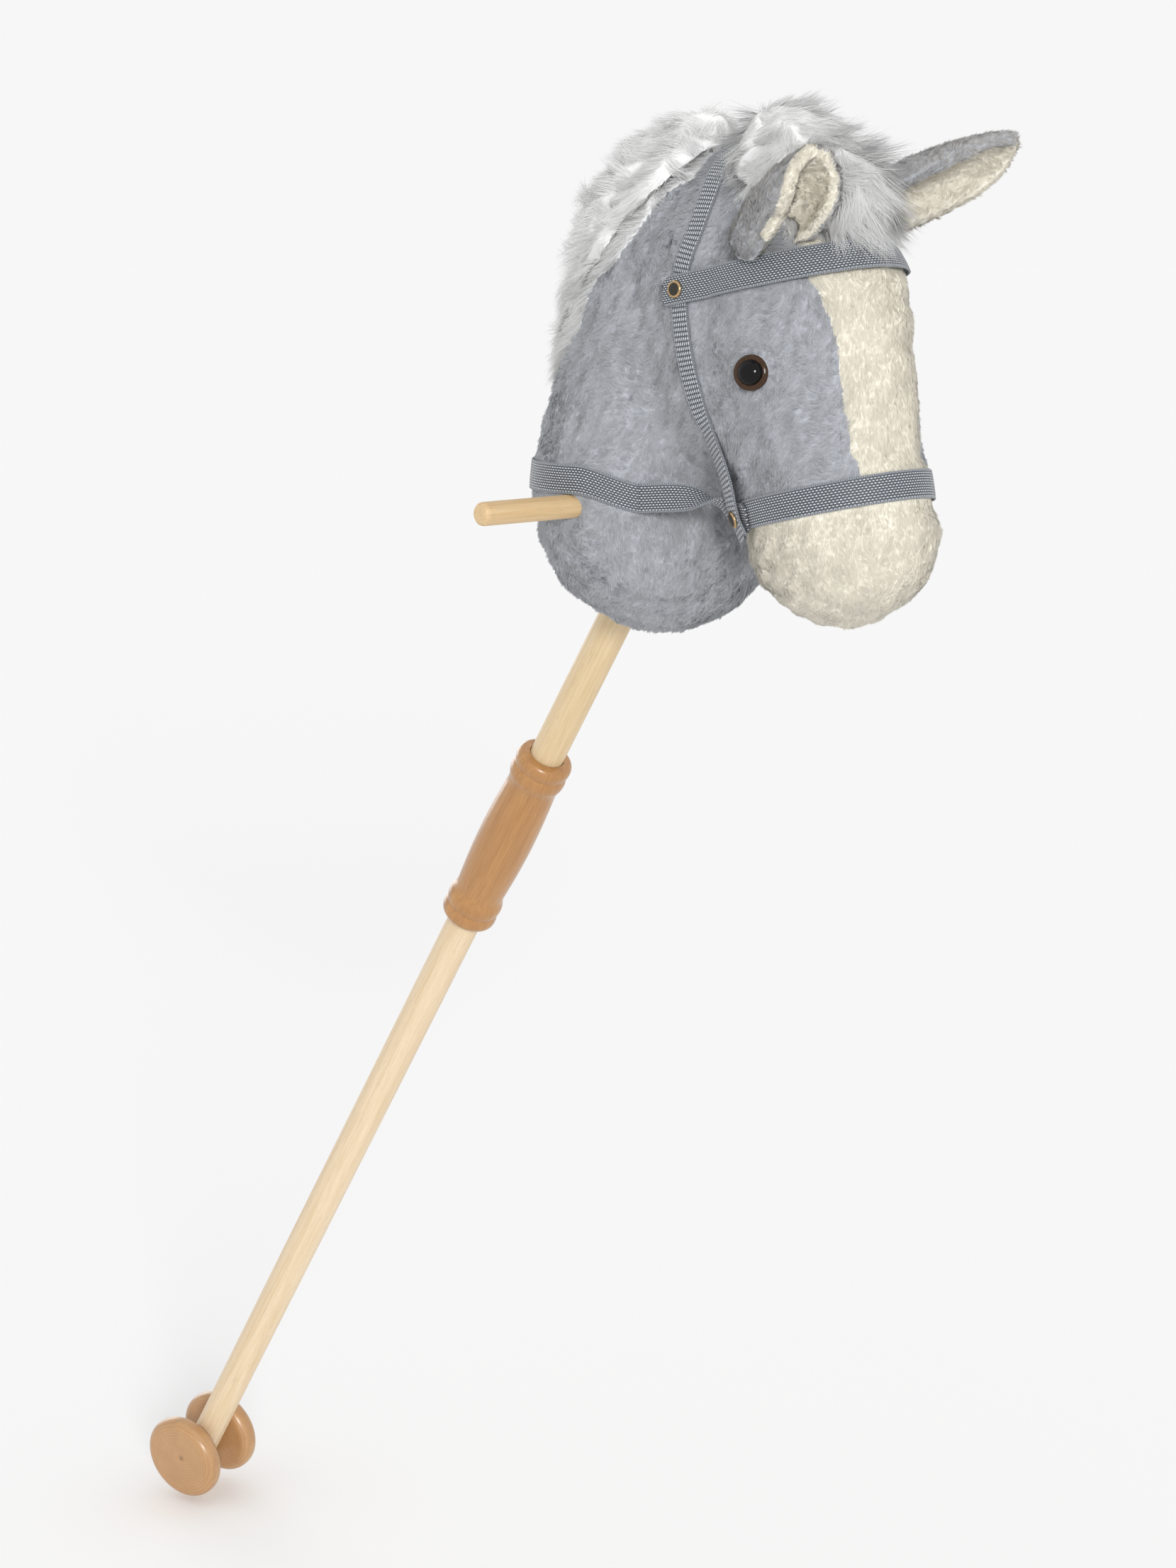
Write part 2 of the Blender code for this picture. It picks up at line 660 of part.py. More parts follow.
def face_bands(frame, skin):
    brow_turn = turn_of(skin, BROW_CENTRE, BROW_RIVET, STRAP_TAIL)
    brow_height = BROW_RIVET[1] + BROW_RISE * (BROW_CENTRE - BROW_RIVET[0])
    brow = strap("browband", band_rows(skin, BROW_CENTRE, brow_height, BROW_RISE, -brow_turn,
                                       brow_turn, WIDE_STRAP, strap_layer(1), 44), frame)
    room = cutter("brow_room", sheet_mesh("brow_room", band_rows(
        skin, BROW_CENTRE, brow_height, BROW_RISE, -brow_turn, brow_turn,
        WIDE_STRAP + 2 * STRAP_GAP, -STRAP_THICKNESS, 30)), frame)
    thicken(room, strap_layer(3) + STRAP_THICKNESS)
    nose_turn = turn_of(skin, NOSE_SEAM_AT, BIT_RIVET, STRAP_TAIL)
    nose = strap("noseband", band_rows(skin, NOSE_SEAM_AT, NOSE_SEAM_HEIGHT,
                                       math.tan(NOSE_SEAM_RISE), -nose_turn, nose_turn,
                                       WIDE_STRAP, strap_layer(0), 40), frame)
    return brow, nose, room


def poll_rows(skin, width, lift):
    """The headpiece's way over the poll, from right to left."""
    rows = []
    steps = 22
    first = math.radians(-8)
    for i in range(steps + 1):
        turn = first + (math.pi - 2 * first) * i / steps
        out = Vector((0, -math.cos(turn), math.sin(turn)))
        middle = POLL_TOP + (POLL_SIDE - POLL_TOP) * abs(math.cos(turn))
        row = []
        for offset in across(width):
            start = Vector((middle + offset, 0, POLL_AXIS_HEIGHT)) + out * 0.3
            place, normal = skin.hit(start, -out)
            row.append(place + normal * lift)
        rows.append(row)
    return rows


def headpiece_rows(skin):
    """One narrow strap from the right bit rivet over the poll to the left one."""
    flank = []
    for i, (x, z, under) in enumerate(HEADPIECE_RUN):
        low = HEADPIECE_RUN[max(i - 1, 0)]
        high = HEADPIECE_RUN[min(i + 1, len(HEADPIECE_RUN) - 1)]
        run = Vector((high[0] - low[0], 0, high[1] - low[1])).normalized()
        wide = Vector((run.z, 0, -run.x))
        row = []
        for offset in across(NARROW_STRAP):
            spot = Vector((x, 0, z)) * MM + wide * offset
            place, _ = skin.side(spot.x, spot.z, -1, strap_layer(under), ("face", "cheek"))
            row.append(place)
        flank.append(row)
    poll = poll_rows(skin, NARROW_STRAP, strap_layer(0))
    mirrored = [[Vector((p.x, -p.y, p.z)) for p in row] for row in reversed(flank)]
    return flank + poll + mirrored


def rein_rows(skin):
    """One wide strap from the right bit rivet, half twisted, round the neck and back."""
    under_twist = strap_layer(0) + STRAP_THICKNESS
    flat = []
    for ahead in (1.0, 0.5, 0.0, -0.6):
        x = BIT_RIVET[0] + STRAP_TAIL * ahead
        flat.append([skin.side(x, BIT_RIVET[1] + offset, -1, strap_layer(1), ("face",))[0]
                     for offset in across(WIDE_STRAP)])
    rivet = flat[-1][1]

    first_turn = math.radians(-56)
    bar_turn = math.radians(-78.5)

    def on_neck(turn):
        climb = min(1.0, (first_turn - turn) / (first_turn - bar_turn))
        climb = 0.6 * climb + 0.4 * (3 * climb ** 2 - 2 * climb ** 3)
        height = REIN_LANDING + (REIN_HEIGHT - REIN_LANDING) * climb
        out = Vector((math.cos(turn), math.sin(turn), 0))
        row = []
        for offset in reversed(across(WIDE_STRAP)):
            start = Vector((REIN_CENTRE, 0, height + offset)) + out * 0.3
            place, face_normal = skin.hit(start, -out, ("neck",))
            row.append(place + face_normal * under_twist)
        return row

    landing = on_neck(first_turn)
    end = (landing[0] + landing[-1]) / 2
    bridge = []
    steps = 12
    for i in range(1, steps):
        run = i / steps
        middle = rivet.lerp(end, run)
        along = (end - rivet).normalized()
        outward = along.cross(Vector((0, 0, 1))).normalized()
        if outward.y > 0:
            outward.negate()
        middle.z += REIN_BOW * math.sin(math.pi * run ** 0.8)
        turn = math.pi * (1 - (1 - max(0.0, run - 0.05) / 0.95) ** 2.6)
        wide = Vector((0, 0, 1)) * math.cos(turn) + outward * math.sin(turn)
        bridge.append([middle + wide * offset for offset in across(WIDE_STRAP)])
    turns = 26
    wrap = [on_neck(first_turn + (-math.pi - first_turn) * i / turns) for i in range(turns)]
    right = flat + bridge + wrap
    back = on_neck(-math.pi)
    left = [[Vector((p.x, -p.y, p.z)) for p in row] for row in reversed(right)]
    return right + [back] + left


def rivet_pieces(frame, skin, layers, pierced, dented):
    """Four rivets, each through the straps of its stack, with its back in the plush."""
    for kind, spot in (("brow", BROW_RIVET), ("bit", BIT_RIVET)):
        top = strap_layer(layers[kind]) + SEAT_GAP - STRAP_GAP
        back = -RIVET_BACK - SEAT_GAP
        cap = [(0, top + RIVET_DOME)]
        for i in range(1, 5):
            angle = math.pi / 2 * (1 - i / 4)
            cap.append((RIVET_RADIUS * math.cos(angle), top + RIVET_DOME * math.sin(angle)))
        seat = back + RIVET_BACK
        profile = cap + [(RIVET_POST, top), (RIVET_POST, seat), (RIVET_RADIUS, seat),
                         (RIVET_RADIUS, back), (0, back)]
        room = RIVET_RADIUS + SEAT_GAP
        for side, sign in (("left", 1), ("right", -1)):
            place, normal = skin.side(*spot, sign, 0.0, ("face", "cheek"))
            turn = normal.to_track_quat("Z", "Y").to_euler()
            rivet = part(f"{kind}_rivet_{side}", turned_mesh(f"{kind}_rivet_{side}", profile),
                         "rivet_metal", frame, place)
            rivet.rotation_euler = turn
            spin(rivet, 16)
            hole = cutter(f"{kind}_post_hole_{side}",
                          rod_mesh("post_hole", RIVET_POST + SEAT_GAP, -0.01, 0.02, sides=16),
                          frame, place)
            hole.rotation_euler = turn
            for piece in pierced[kind]:
                boolean(piece, hole)
            dent = cutter(f"{kind}_dent_{side}",
                          rod_mesh("dent", room, back - SEAT_GAP, 0.01, sides=24), frame, place)
            dent.rotation_euler = turn
            for piece in dented[kind]:
                boolean(piece, dent)


def main():
    pole_frame = empty("pole_frame", rotation=(0, POLE_TILT, 0))
    axle_frame = empty("axle_frame", pole_frame, (0, 0, -AXLE_BELOW_GRIP), (0, 0, AXLE_TWIST))
    bar_place = Vector((math.sin(POLE_TILT), 0, math.cos(POLE_TILT))) * BAR_ABOVE_GRIP
    head_frame = empty("head_frame", location=bar_place)

    upper, lower = pole_pieces(pole_frame)
    grip_piece(pole_frame)
    crossbar_piece(pole_frame)
    wheel_pieces(axle_frame)

    bar_hole = cutter("bar_hole", rod_mesh("bar_hole", BAR_RADIUS + SEAT_GAP, -0.2, 0.2, "Y"),
                      pole_frame, (0, 0, BAR_ABOVE_GRIP))
    axle_hole = cutter("axle_hole", rod_mesh("axle_hole", AXLE_RADIUS + SEAT_GAP, -0.05, 0.05,
                                             "Y", sides=24), axle_frame)
    pole_hole = cutter("pole_hole", rod_mesh("pole_hole", POLE_RADIUS + SEAT_GAP,
                                             BAR_ABOVE_GRIP / 2,
                                             BAR_ABOVE_GRIP + POLE_ABOVE_BAR + SEAT_GAP),
                       pole_frame)
    boolean(upper, bar_hole)
    boolean(lower, axle_hole)

    forms = build_forms(head_frame)
    skin = Skin(forms)
    neck, head, blaze, muzzle = head_pieces(head_frame, forms, (pole_hole, bar_hole))
    eye_pieces(head_frame, skin, head)

    browband, noseband, forms["brow_room"] = face_bands(head_frame, skin)
    ear_rooms = ear_pieces(head_frame, forms)
    forms["poll_room"] = cutter("poll_room", sheet_mesh("poll_room", poll_rows(
        skin, NARROW_STRAP + 2 * STRAP_GAP, -STRAP_THICKNESS)), head_frame)
    thicken(forms["poll_room"], strap_layer(3) + STRAP_THICKNESS)
    hair_pieces(head_frame, forms, ear_rooms)
    headpiece = strap("headpiece", headpiece_rows(skin), head_frame)
    rein = strap("rein", rein_rows(skin), head_frame)
    rivet_pieces(head_frame, skin, {"brow": 2, "bit": 3.6},
                 {"brow": (headpiece, browband), "bit": (noseband, rein, headpiece)},
                 {"brow": (head,), "bit": (head, muzzle)})


clear_scene()
PARTS = new_collection("hobby_horse")
CUTTERS = new_collection("cutters")
main()
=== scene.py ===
# Looks of the hobby horse: plush with real pile, webbing bridle, glossy eyes,
# pale and honey-coloured wood. Metres, +Z up, the horse looks along +X.

import math

import bmesh
import bpy
import numpy as np
from mathutils import Matrix, Vector
from mathutils.bvhtree import BVHTree
from mathutils.kdtree import KDTree


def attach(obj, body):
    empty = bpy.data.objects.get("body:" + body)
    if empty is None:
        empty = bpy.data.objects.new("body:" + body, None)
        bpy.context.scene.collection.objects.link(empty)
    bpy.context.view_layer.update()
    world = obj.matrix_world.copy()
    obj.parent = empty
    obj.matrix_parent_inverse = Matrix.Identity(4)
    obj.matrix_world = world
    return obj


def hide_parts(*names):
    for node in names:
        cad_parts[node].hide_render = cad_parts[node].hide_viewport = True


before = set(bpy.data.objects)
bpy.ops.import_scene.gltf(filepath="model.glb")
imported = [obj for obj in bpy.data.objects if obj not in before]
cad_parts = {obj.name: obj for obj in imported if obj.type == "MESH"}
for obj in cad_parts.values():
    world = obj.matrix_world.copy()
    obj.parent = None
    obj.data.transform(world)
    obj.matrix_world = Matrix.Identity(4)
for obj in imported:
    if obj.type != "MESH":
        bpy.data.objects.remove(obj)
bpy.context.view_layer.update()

MM = 0.001
POLE_TILT = math.radians(33.9)
BAR_ABOVE_GRIP = 251 * MM
AXLE_BELOW_GRIP = 575.5 * MM
AXLE_TWIST = math.radians(16)
POLE_WAY = Vector((math.sin(POLE_TILT), 0, math.cos(POLE_TILT)))
HEAD_AT = POLE_WAY * BAR_ABOVE_GRIP
HEAD_NP = np.array(HEAD_AT)
AXLE_AT = POLE_WAY * -AXLE_BELOW_GRIP

# The stuffed forms, in mm from the crossbar: height, middle, half depth, half width
NECK_SLICES = [
    (-76, -4, 0, 0), (-73, -4, 15, 19), (-66, -6, 28.5, 37), (-54, -8, 43, 56),
    (-40, -10, 52, 69), (-15, -11, 57.5, 81), (20, -9, 58.5, 81), (50, -7, 59, 71),
    (85, -3, 58, 61.5), (120, 6, 55, 56), (147, 19, 48, 46), (167, 29, 38, 34),
    (180, 38, 20, 18), (186, 42, 0, 0),
]
FACE_SLICES = [
    (-57, 118, 0, 0), (-52, 118, 18, 15), (-46, 119, 30, 25), (-38, 120, 38, 33),
    (-27, 120, 46, 39), (-12, 119, 52, 44), (5, 114, 55, 46), (30, 98, 65, 49),
    (62, 88, 70, 52), (89, 84, 71, 53), (112, 86, 66, 51), (130, 80, 59, 48),
    (148, 72, 51, 42), (164, 65, 40, 33), (176, 58, 26, 20), (182, 56, 0, 0),
]
CHEEK_SLICES = [
    (4, 48, 0, 0), (8, 50, 24, 22), (18, 52, 46, 36), (34, 50, 62, 46),
    (60, 47, 74, 53), (89, 45, 79, 56), (112, 46, 80, 55), (131, 45, 76, 53.5),
    (148, 46, 66, 46), (164, 46, 50, 36), (176, 47, 30, 24), (183, 48, 0, 0),
]

# Seams of the face and places of the bridle, as in the solids
NOSE_SEAM_HEIGHT = 4 * MM
NOSE_SEAM_AT = 110 * MM
NOSE_SEAM_RISE = math.radians(13)
BLAZE_EDGE = [(158, -20), (155, 21), (148, 37), (143, 64), (139, 90), (130, 113),
              (112, 141), (92, 166), (80, 190)]
BROW_RIVET = (56 * MM, 112 * MM)
BIT_RIVET = (89 * MM, -1 * MM)
BROW_CENTRE = 84 * MM
BROW_RISE = 0.19
WIDE_STRAP = 15 * MM
NARROW_STRAP = 10 * MM
STRAP_THICKNESS = 1.2 * MM
STRAP_DOME = 0.25 * MM
STRAP_STEP = 1.8 * MM
STRAP_GAP = 0.6 * MM
STRAP_TAIL = 8 * MM
REIN_HEIGHT = 14.1 * MM
REIN_LANDING = 5 * MM
REIN_CENTRE = -9 * MM
REIN_BOW = 4.5 * MM
HEADPIECE_RUN = [(95, -12, 2.6), (91.5, -6, 2.6), (89, -1, 2.6), (88, 7, 2.6), (86, 16, 2),
                 (81, 25, 1), (72, 38, 0), (66, 51, 0), (63, 64, 0), (60, 80, 0), (58, 96, 0),
                 (56, 112, 0), (57.5, 125, 0), (60, 136, 0)]
POLL_SIDE = 61 * MM
POLL_TOP = 45 * MM
POLL_AXIS_HEIGHT = 145 * MM
EYE_AT = (103 * MM, 72 * MM)
EYE_TURN = math.radians(27)

EYE_BARE = 9 * MM
GRAIN_DEPTH = 0.3 * MM
FLOOR_HEIGHT = -0.5135
SEEN_FLOOR = (0.959, 0.959, 0.959)
CLOTH_STEPS = 20
RAY_START = 0.3
BASE = bpy.context.scene.collection
rng = np.random.default_rng(7)


# Materials

class Shader:
    """Short calls for building the node tree of a material or a world."""

    def __init__(self, owner):
        owner.use_nodes = True
        self.owner = owner
        self.tree = owner.node_tree
        self.main = self.tree.nodes.get("Principled BSDF")

    def set(self, socket, value):
        if isinstance(value, bpy.types.NodeSocket):
            self.tree.links.new(value, socket)
        else:
            socket.default_value = value

    def look(self, **values):
        """Set the main shader's sockets, with _ for each space in a name."""
        for key, value in values.items():
            self.set(self.main.inputs[key.replace("_", " ")], value)

    def node(self, kind, inputs=(), out=0, **settings):
        """An output of a new node, with its inputs in order or by name."""
        made = self.tree.nodes.new("ShaderNode" + kind)
        for key, value in settings.items():
            setattr(made, key, value)
        for key, value in inputs.items() if isinstance(inputs, dict) else enumerate(inputs):
            self.set(made.inputs[key], value)
        return made.outputs[out]

    def math(self, operation, a, b=0.0):
        return self.node("Math", (a, b), operation=operation)

    def add(self, a, b):
        return self.math("ADD", a, b)

    def times(self, a, b):
        return self.math("MULTIPLY", a, b)

    def mix(self, factor, a, b, **settings):
        """A blend of two colours, each a tuple or a socket."""
        a, b = ((*c, 1.0) if isinstance(c, tuple) else c for c in (a, b))
        return self.node("Mix", {0: factor, 6: a, 7: b}, 2, data_type="RGBA", **settings)

    def multiply(self, colour, by):
        return self.mix(1.0, colour, self.node("CombineXYZ", (by, by, by)), blend_type="MULTIPLY")

    def remap(self, value, low, high, to_low=0.0, to_high=1.0):
        return self.node("MapRange", (value, low, high, to_low, to_high), clamp=True)

    def attribute(self, name, out="Fac"):
        return self.node("Attribute", out=out, attribute_name=name)

    def noise(self, vector, scale, detail=3.0, roughness=0.5, distortion=0.0):
        return self.node("TexNoise", {"Vector": vector, "Scale": scale, "Detail": detail,
                                      "Roughness": roughness, "Distortion": distortion})

    def coords(self, rotation=(0, 0, 0), scale=(1, 1, 1), location=(0, 0, 0)):
        """World position at rest, moved into a piece's own directions."""
        place = self.node("TexCoord", out="Object")
        place = self.node("VectorMath", (place, location), operation="SUBTRACT")
        place = self.node("VectorRotate", {"Vector": place, "Rotation": rotation},
                          rotation_type="EULER_XYZ", invert=True)
        return self.node("VectorMath", (place, scale), operation="MULTIPLY")

    def bump(self, height, strength, distance):
        self.look(Normal=self.node("Bump", {"Strength": strength, "Distance": distance,
                                            "Height": height}))


def paint(name):
    return Shader(bpy.data.materials.new(name))


def wood_material(name, pale, dark, roughness, coat, rotation, location=(0, 0, 0)):
    """Wood with its grain along the piece's own Z."""
    s = paint(name)
    fine = s.noise(s.coords(rotation, (900, 900, 28), location), 1.0, 5.0, 0.62)
    wide = s.noise(s.coords(rotation, (150, 150, 5), location), 1.0, 3.0, 0.5, 0.6)
    flecks = s.noise(s.coords(rotation, (1500, 1500, 120), location), 1.0, 2.0, 0.5)
    tone = s.add(s.times(fine, 0.55), s.times(wide, 0.55))
    colour = s.mix(s.remap(tone, 0.36, 0.74), pale, dark)
    s.look(Base_Color=s.multiply(colour, s.remap(flecks, 0.60, 0.72, 1.0, 0.86)),
           Roughness=s.remap(fine, 0.3, 0.7, roughness - 0.05, roughness + 0.08),
           Coat_Weight=coat, Coat_Roughness=0.18)
    s.bump(fine, 0.12, GRAIN_DEPTH)
    return s.owner


def wheel_material(name, centre, rotation, pith):
    """Lacquered wood cut across the trunk: rings round a pith that sits off centre."""
    s = paint(name)
    place = s.coords(rotation, (1, 1, 1), centre)
    x, y = (s.math("SUBTRACT", s.node("SeparateXYZ", (place,), i), pith[i]) for i in (0, 1))
    reach = s.math("SQRT", s.add(s.times(x, x), s.times(y, y)))
    wander = s.math("SUBTRACT", s.noise(place, 60, 2.0), 0.5)
    reach = s.add(reach, s.times(wander, 4 * MM))
    wave = s.math("SINE", s.times(reach, 2 * math.pi / (2.1 * MM)))
    ring = s.math("POWER", s.add(s.times(wave, 0.5), 0.5), 1.6)
    tone = s.add(s.times(ring, 0.14), s.times(s.noise(place, 1400, 4.0, 0.6), 0.4))
    tone = s.add(tone, s.times(s.noise(place, 90, 2.0), 0.3))
    colour = s.mix(s.remap(tone, 0.2, 0.66), (0.52, 0.30, 0.135), (0.37, 0.19, 0.076))
    smudge = s.add(reach, s.times(s.noise(place, 500, 3.0, 0.6), 3 * MM))
    s.look(Base_Color=s.multiply(colour, s.remap(smudge, 1.6 * MM, 4.2 * MM, 0.5, 1.0)),
           Roughness=0.36, Coat_Weight=0.35, Coat_Roughness=0.2)
    s.bump(tone, 0.10, GRAIN_DEPTH)
    return s.owner


def pile_material(name, tip, root, shade, through):
    """Pile: strands lighten to their tips, vary one by one, shade like the skin below
    and let a share of the light through."""
    s = paint(name)
    colour = s.mix(s.math("POWER", s.attribute("along"), 0.8), root, tip)
    colour = s.multiply(colour, s.remap(s.attribute("tint"), 0, 1, 1 - shade, 1 + shade * 0.45))
    normal = s.node("Mix", {0: 0.97, 4: s.node("NewGeometry", out="Normal"),
                            5: s.attribute("skin", "Vector")}, 1, data_type="VECTOR")
    s.look(Base_Color=colour, Roughness=0.9, Specular_IOR_Level=0.12, Sheen_Weight=0.25,
           Sheen_Roughness=0.5, Normal=s.node("VectorMath", (normal,), operation="NORMALIZE"))
    both = s.node("MixShader", (through, s.main.outputs[0], s.node("BsdfTranslucent", (colour,))))
    s.set(s.tree.nodes["Material Output"].inputs["Surface"], both)
    return s.owner


def skin_material(name, colour, dark):
    """Backing cloth under the pile."""
    s = paint(name)
    place = s.coords()
    s.look(Base_Color=s.mix(s.remap(s.noise(place, 160, 4.0, 0.6), 0.35, 0.65), dark, colour),
           Roughness=0.95, Specular_IOR_Level=0.1)
    s.bump(s.noise(place, 900, 3.0, 0.6), 0.5, 0.8 * MM)
    return s.owner


def webbing_material(name, pitch, rows, stagger, fleck_size):
    """Basket weave from the strap's own coordinates: along and across, in mm."""
    s = paint(name)
    along, over, edge = (s.attribute(key) for key in ("along", "across", "edge"))
    row = s.math("DIVIDE", over, rows)
    odd = s.times(s.math("MODULO", s.math("ABSOLUTE", s.math("FLOOR", row)), 2.0), stagger)
    run = s.add(s.math("DIVIDE", along, pitch), odd)
    u, v = (s.math("SUBTRACT", s.math("FRACT", value), 0.5) for value in (run, row))
    far = s.math("SQRT", s.add(s.times(s.times(u, u), 5.0), s.times(s.times(v, v), 9.0)))
    fleck = s.remap(far, fleck_size - 0.16, fleck_size + 0.18, 1.0, 0.0)
    thread = s.noise(s.coords(), 2600, 2.0, 0.5)
    fleck = s.times(fleck, s.remap(thread, 0.34, 0.58, 0.35, 1.0))
    rib = s.times(s.add(s.math("COSINE", s.times(row, 2 * math.pi)), 1.0), 0.5)
    ground = s.mix(rib, (0.095, 0.108, 0.127), (0.042, 0.05, 0.062))
    rung = s.add(s.times(s.math("SINE", s.times(along, 2 * math.pi / 1.15)), 0.5), 0.5)
    rim = s.mix(s.math("POWER", rung, 1.5), (0.14, 0.155, 0.175), (0.34, 0.365, 0.40))
    colour = s.mix(fleck, ground, (0.84, 0.87, 0.91))
    s.look(Base_Color=s.mix(s.remap(edge, 0.82, 0.93), colour, rim), Roughness=0.62,
           Sheen_Weight=0.2)
    s.bump(s.add(s.times(fleck, 0.8), s.times(s.remap(edge, 0.8, 1), rung)), 0.7, 0.5 * MM)
    return s.owner


def plain_material(name, colour, roughness, metallic=0.0, bump=0.0, vary=0.1, shine=0.5):
    s = paint(name)
    patch = s.noise(s.coords(), 700, 4.0, 0.6)
    low = tuple(c * (1 - vary) for c in colour)
    s.look(Base_Color=s.mix(s.remap(patch, 0.35, 0.65), low, colour),
           Roughness=s.remap(patch, 0.3, 0.7, roughness * 0.9, roughness * 1.15),
           Metallic=metallic, Specular_IOR_Level=shine)
    if bump:
        s.bump(patch, bump, 0.2 * MM)
    return s.owner


# Meshes

def added(name, data):
    """A new object in the scene."""
    made = bpy.data.objects.new(name, data)
    BASE.objects.link(made)
    return made


def put(name, mesh, material, body="horse", replaces=()):
    """A visible piece with one material or several, riding on its body."""
    made = added(name, mesh)
    mesh.materials.clear()
    for one in material if isinstance(material, tuple) else (material,):
        mesh.materials.append(one)
    mesh.shade_smooth()
    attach(made, body)
    if replaces:
        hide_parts(*replaces)
    return made


def finished(name, bm):
    """The edited mesh as a new data block."""
    mesh = bpy.data.meshes.new(name)
    bm.to_mesh(mesh)
    bm.free()
    return mesh


def ringed(name, rings):
    """A closed mesh over rings of points from top to foot; an end is a ring of one point."""
    starts = [sum(map(len, rings[:k])) for k in range(len(rings))]
    faces = []
    for k in range(len(rings) - 1):
        for i in range(max(map(len, rings))):
            corners = [starts[row] + turn % len(rings[row]) for row, turn in
                       ((k, i), (k + 1, i), (k + 1, i + 1), (k, i + 1))]
            faces.append(tuple(dict.fromkeys(corners)))
    mesh = bpy.data.meshes.new(name)
    mesh.from_pydata([tuple(point) for ring in rings for point in ring], [], faces)
    mesh.update(calc_edges=True)
    return mesh


def form_mesh(name, slices, sides=20):
    """A stuffed form from its table of level slices, at its place in the world."""
    draw_in = (6 + 2 * math.cos(2 * math.pi / sides)) / 8
    turns = [2 * math.pi * i / sides for i in range(sides)]
    rings = [[HEAD_AT + MM * Vector((middle + depth / draw_in * math.cos(t),
                                     width / draw_in * math.sin(t), height))
              for t in (turns if depth else [0])]
             for height, middle, depth, width in reversed(slices)]
    return subdivided(name, ringed(name, rings), 2)


def settled(holder):
    """The mesh of an object with its modifiers; the object goes."""
    graph = bpy.context.evaluated_depsgraph_get()
    made = bpy.data.meshes.new_from_object(holder.evaluated_get(graph))
    bpy.data.objects.remove(holder, do_unlink=True)
    return made


def applied(name, mesh, steps):
    """The mesh after a list of modifiers."""
    holder = added(name, mesh)
    for kind, values in steps:
        step = holder.modifiers.new(kind.lower(), kind)
        for key, value in values.items():
            setattr(step, key, value)
    bpy.context.view_layer.update()
    return settled(holder)


def subdivided(name, mesh, levels):
    return applied(name, mesh, [("SUBSURF", {"levels": levels, "render_levels": levels})])


def skinned(name, mesh, voxel, rounds):
    """Closed solids that touch or cross, as one even skin."""
    return applied(name, mesh, [("WELD", {"merge_threshold": 0.05 * MM}),
                                ("REMESH", {"mode": "VOXEL", "voxel_size": voxel}),
                                ("SMOOTH", {"factor": 0.5, "iterations": rounds})])


def rows_of(items, key, kind=float):
    """One value of three numbers for each item, as an array."""
    found = np.empty(len(items) * 3, kind)
    items.foreach_get(key, found)
    return found.reshape(-1, 3)


def arrays(mesh):
    """Points, triangles and smooth normals of a mesh as arrays."""
    mesh.calc_loop_triangles()
    return (rows_of(mesh.vertices, "co"), rows_of(mesh.loop_triangles, "vertices", np.int32),
            rows_of(mesh.vertices, "normal"))


def move_to(mesh, points):
    mesh.vertices.foreach_set("co", points.ravel())
    mesh.update()
    return mesh


def tree_of(mesh):
    points, tris, _ = arrays(mesh)
    return BVHTree.FromPolygons(points.tolist(), tris.tolist())


def mark(mesh, key, values):
    """One number for each point, for the materials to read."""
    mesh.attributes.new(key, "FLOAT", "POINT").data.foreach_set("value", values.astype(np.float32))


def unit(v):
    return v / np.maximum(np.linalg.norm(v, axis=-1, keepdims=True), 1e-12)


def lathe_mesh(name, profile, steps, place, way):
    """A turned piece from (radius, height) points in mm, from its top to its foot."""
    turn = way.to_track_quat("Z", "Y")
    turns = [2 * math.pi * i / steps for i in range(steps)]
    return ringed(name, [[place + turn @ Vector((r * math.cos(t), r * math.sin(t), height)) * MM
                          for t in (turns if r else [0])] for r, height in profile])


class Field:
    """Sums of sine waves: a smooth random vector at every point."""

    def __init__(self, seed, length, waves=10):
        source = np.random.default_rng(seed)
        self.ways = unit(source.normal(size=(waves, 3))) * (2 * math.pi / length)
        self.ways *= source.uniform(0.6, 1.5, (waves, 1))
        self.phase = source.uniform(0, 2 * math.pi, waves)
        self.size = source.normal(size=(waves, 3)) / math.sqrt(waves / 2)

    def at(self, points):
        return np.sin(points @ self.ways.T + self.phase) @ self.size


class Skin:
    """The stuffed forms as a target for rays from outside."""

    def __init__(self, meshes):
        self.trees = {name: tree_of(mesh) for name, mesh in meshes.items()}

    def inward(self, x, z, out, lift=0.0, only=None):
        """The first point met on the way in along -out, lifted along its normal."""
        start = HEAD_AT + Vector((x, 0, z)) + out * RAY_START
        met = [tree.ray_cast(start, -out) for name, tree in self.trees.items()
               if not only or name in only]
        place, normal, _, _ = min((one for one in met if one[0]), key=lambda one: one[3])
        return place + normal * lift, normal

    def side(self, x, z, sign, lift=0.0, only=None):
        """A point of one flank, x and z from the crossbar."""
        return self.inward(x, z, Vector((0, sign, 0)), lift, only)


def level(turn):
    """The level direction at an angle from straight ahead."""
    return Vector((math.cos(turn), math.sin(turn), 0))


FACE = ("face", "cheek")
forms = {
    "neck": form_mesh("neck_form", NECK_SLICES),
    "face": form_mesh("face_form", FACE_SLICES),
    "cheek": form_mesh("cheek_form", CHEEK_SLICES),
}
skin = Skin(forms)


# Plush skin: the three forms as one sewn cover

def joined(name, meshes, voxel):
    bm = bmesh.new()
    for mesh in meshes:
        bm.from_mesh(mesh)
    return skinned(name, finished(name, bm), voxel, 6)


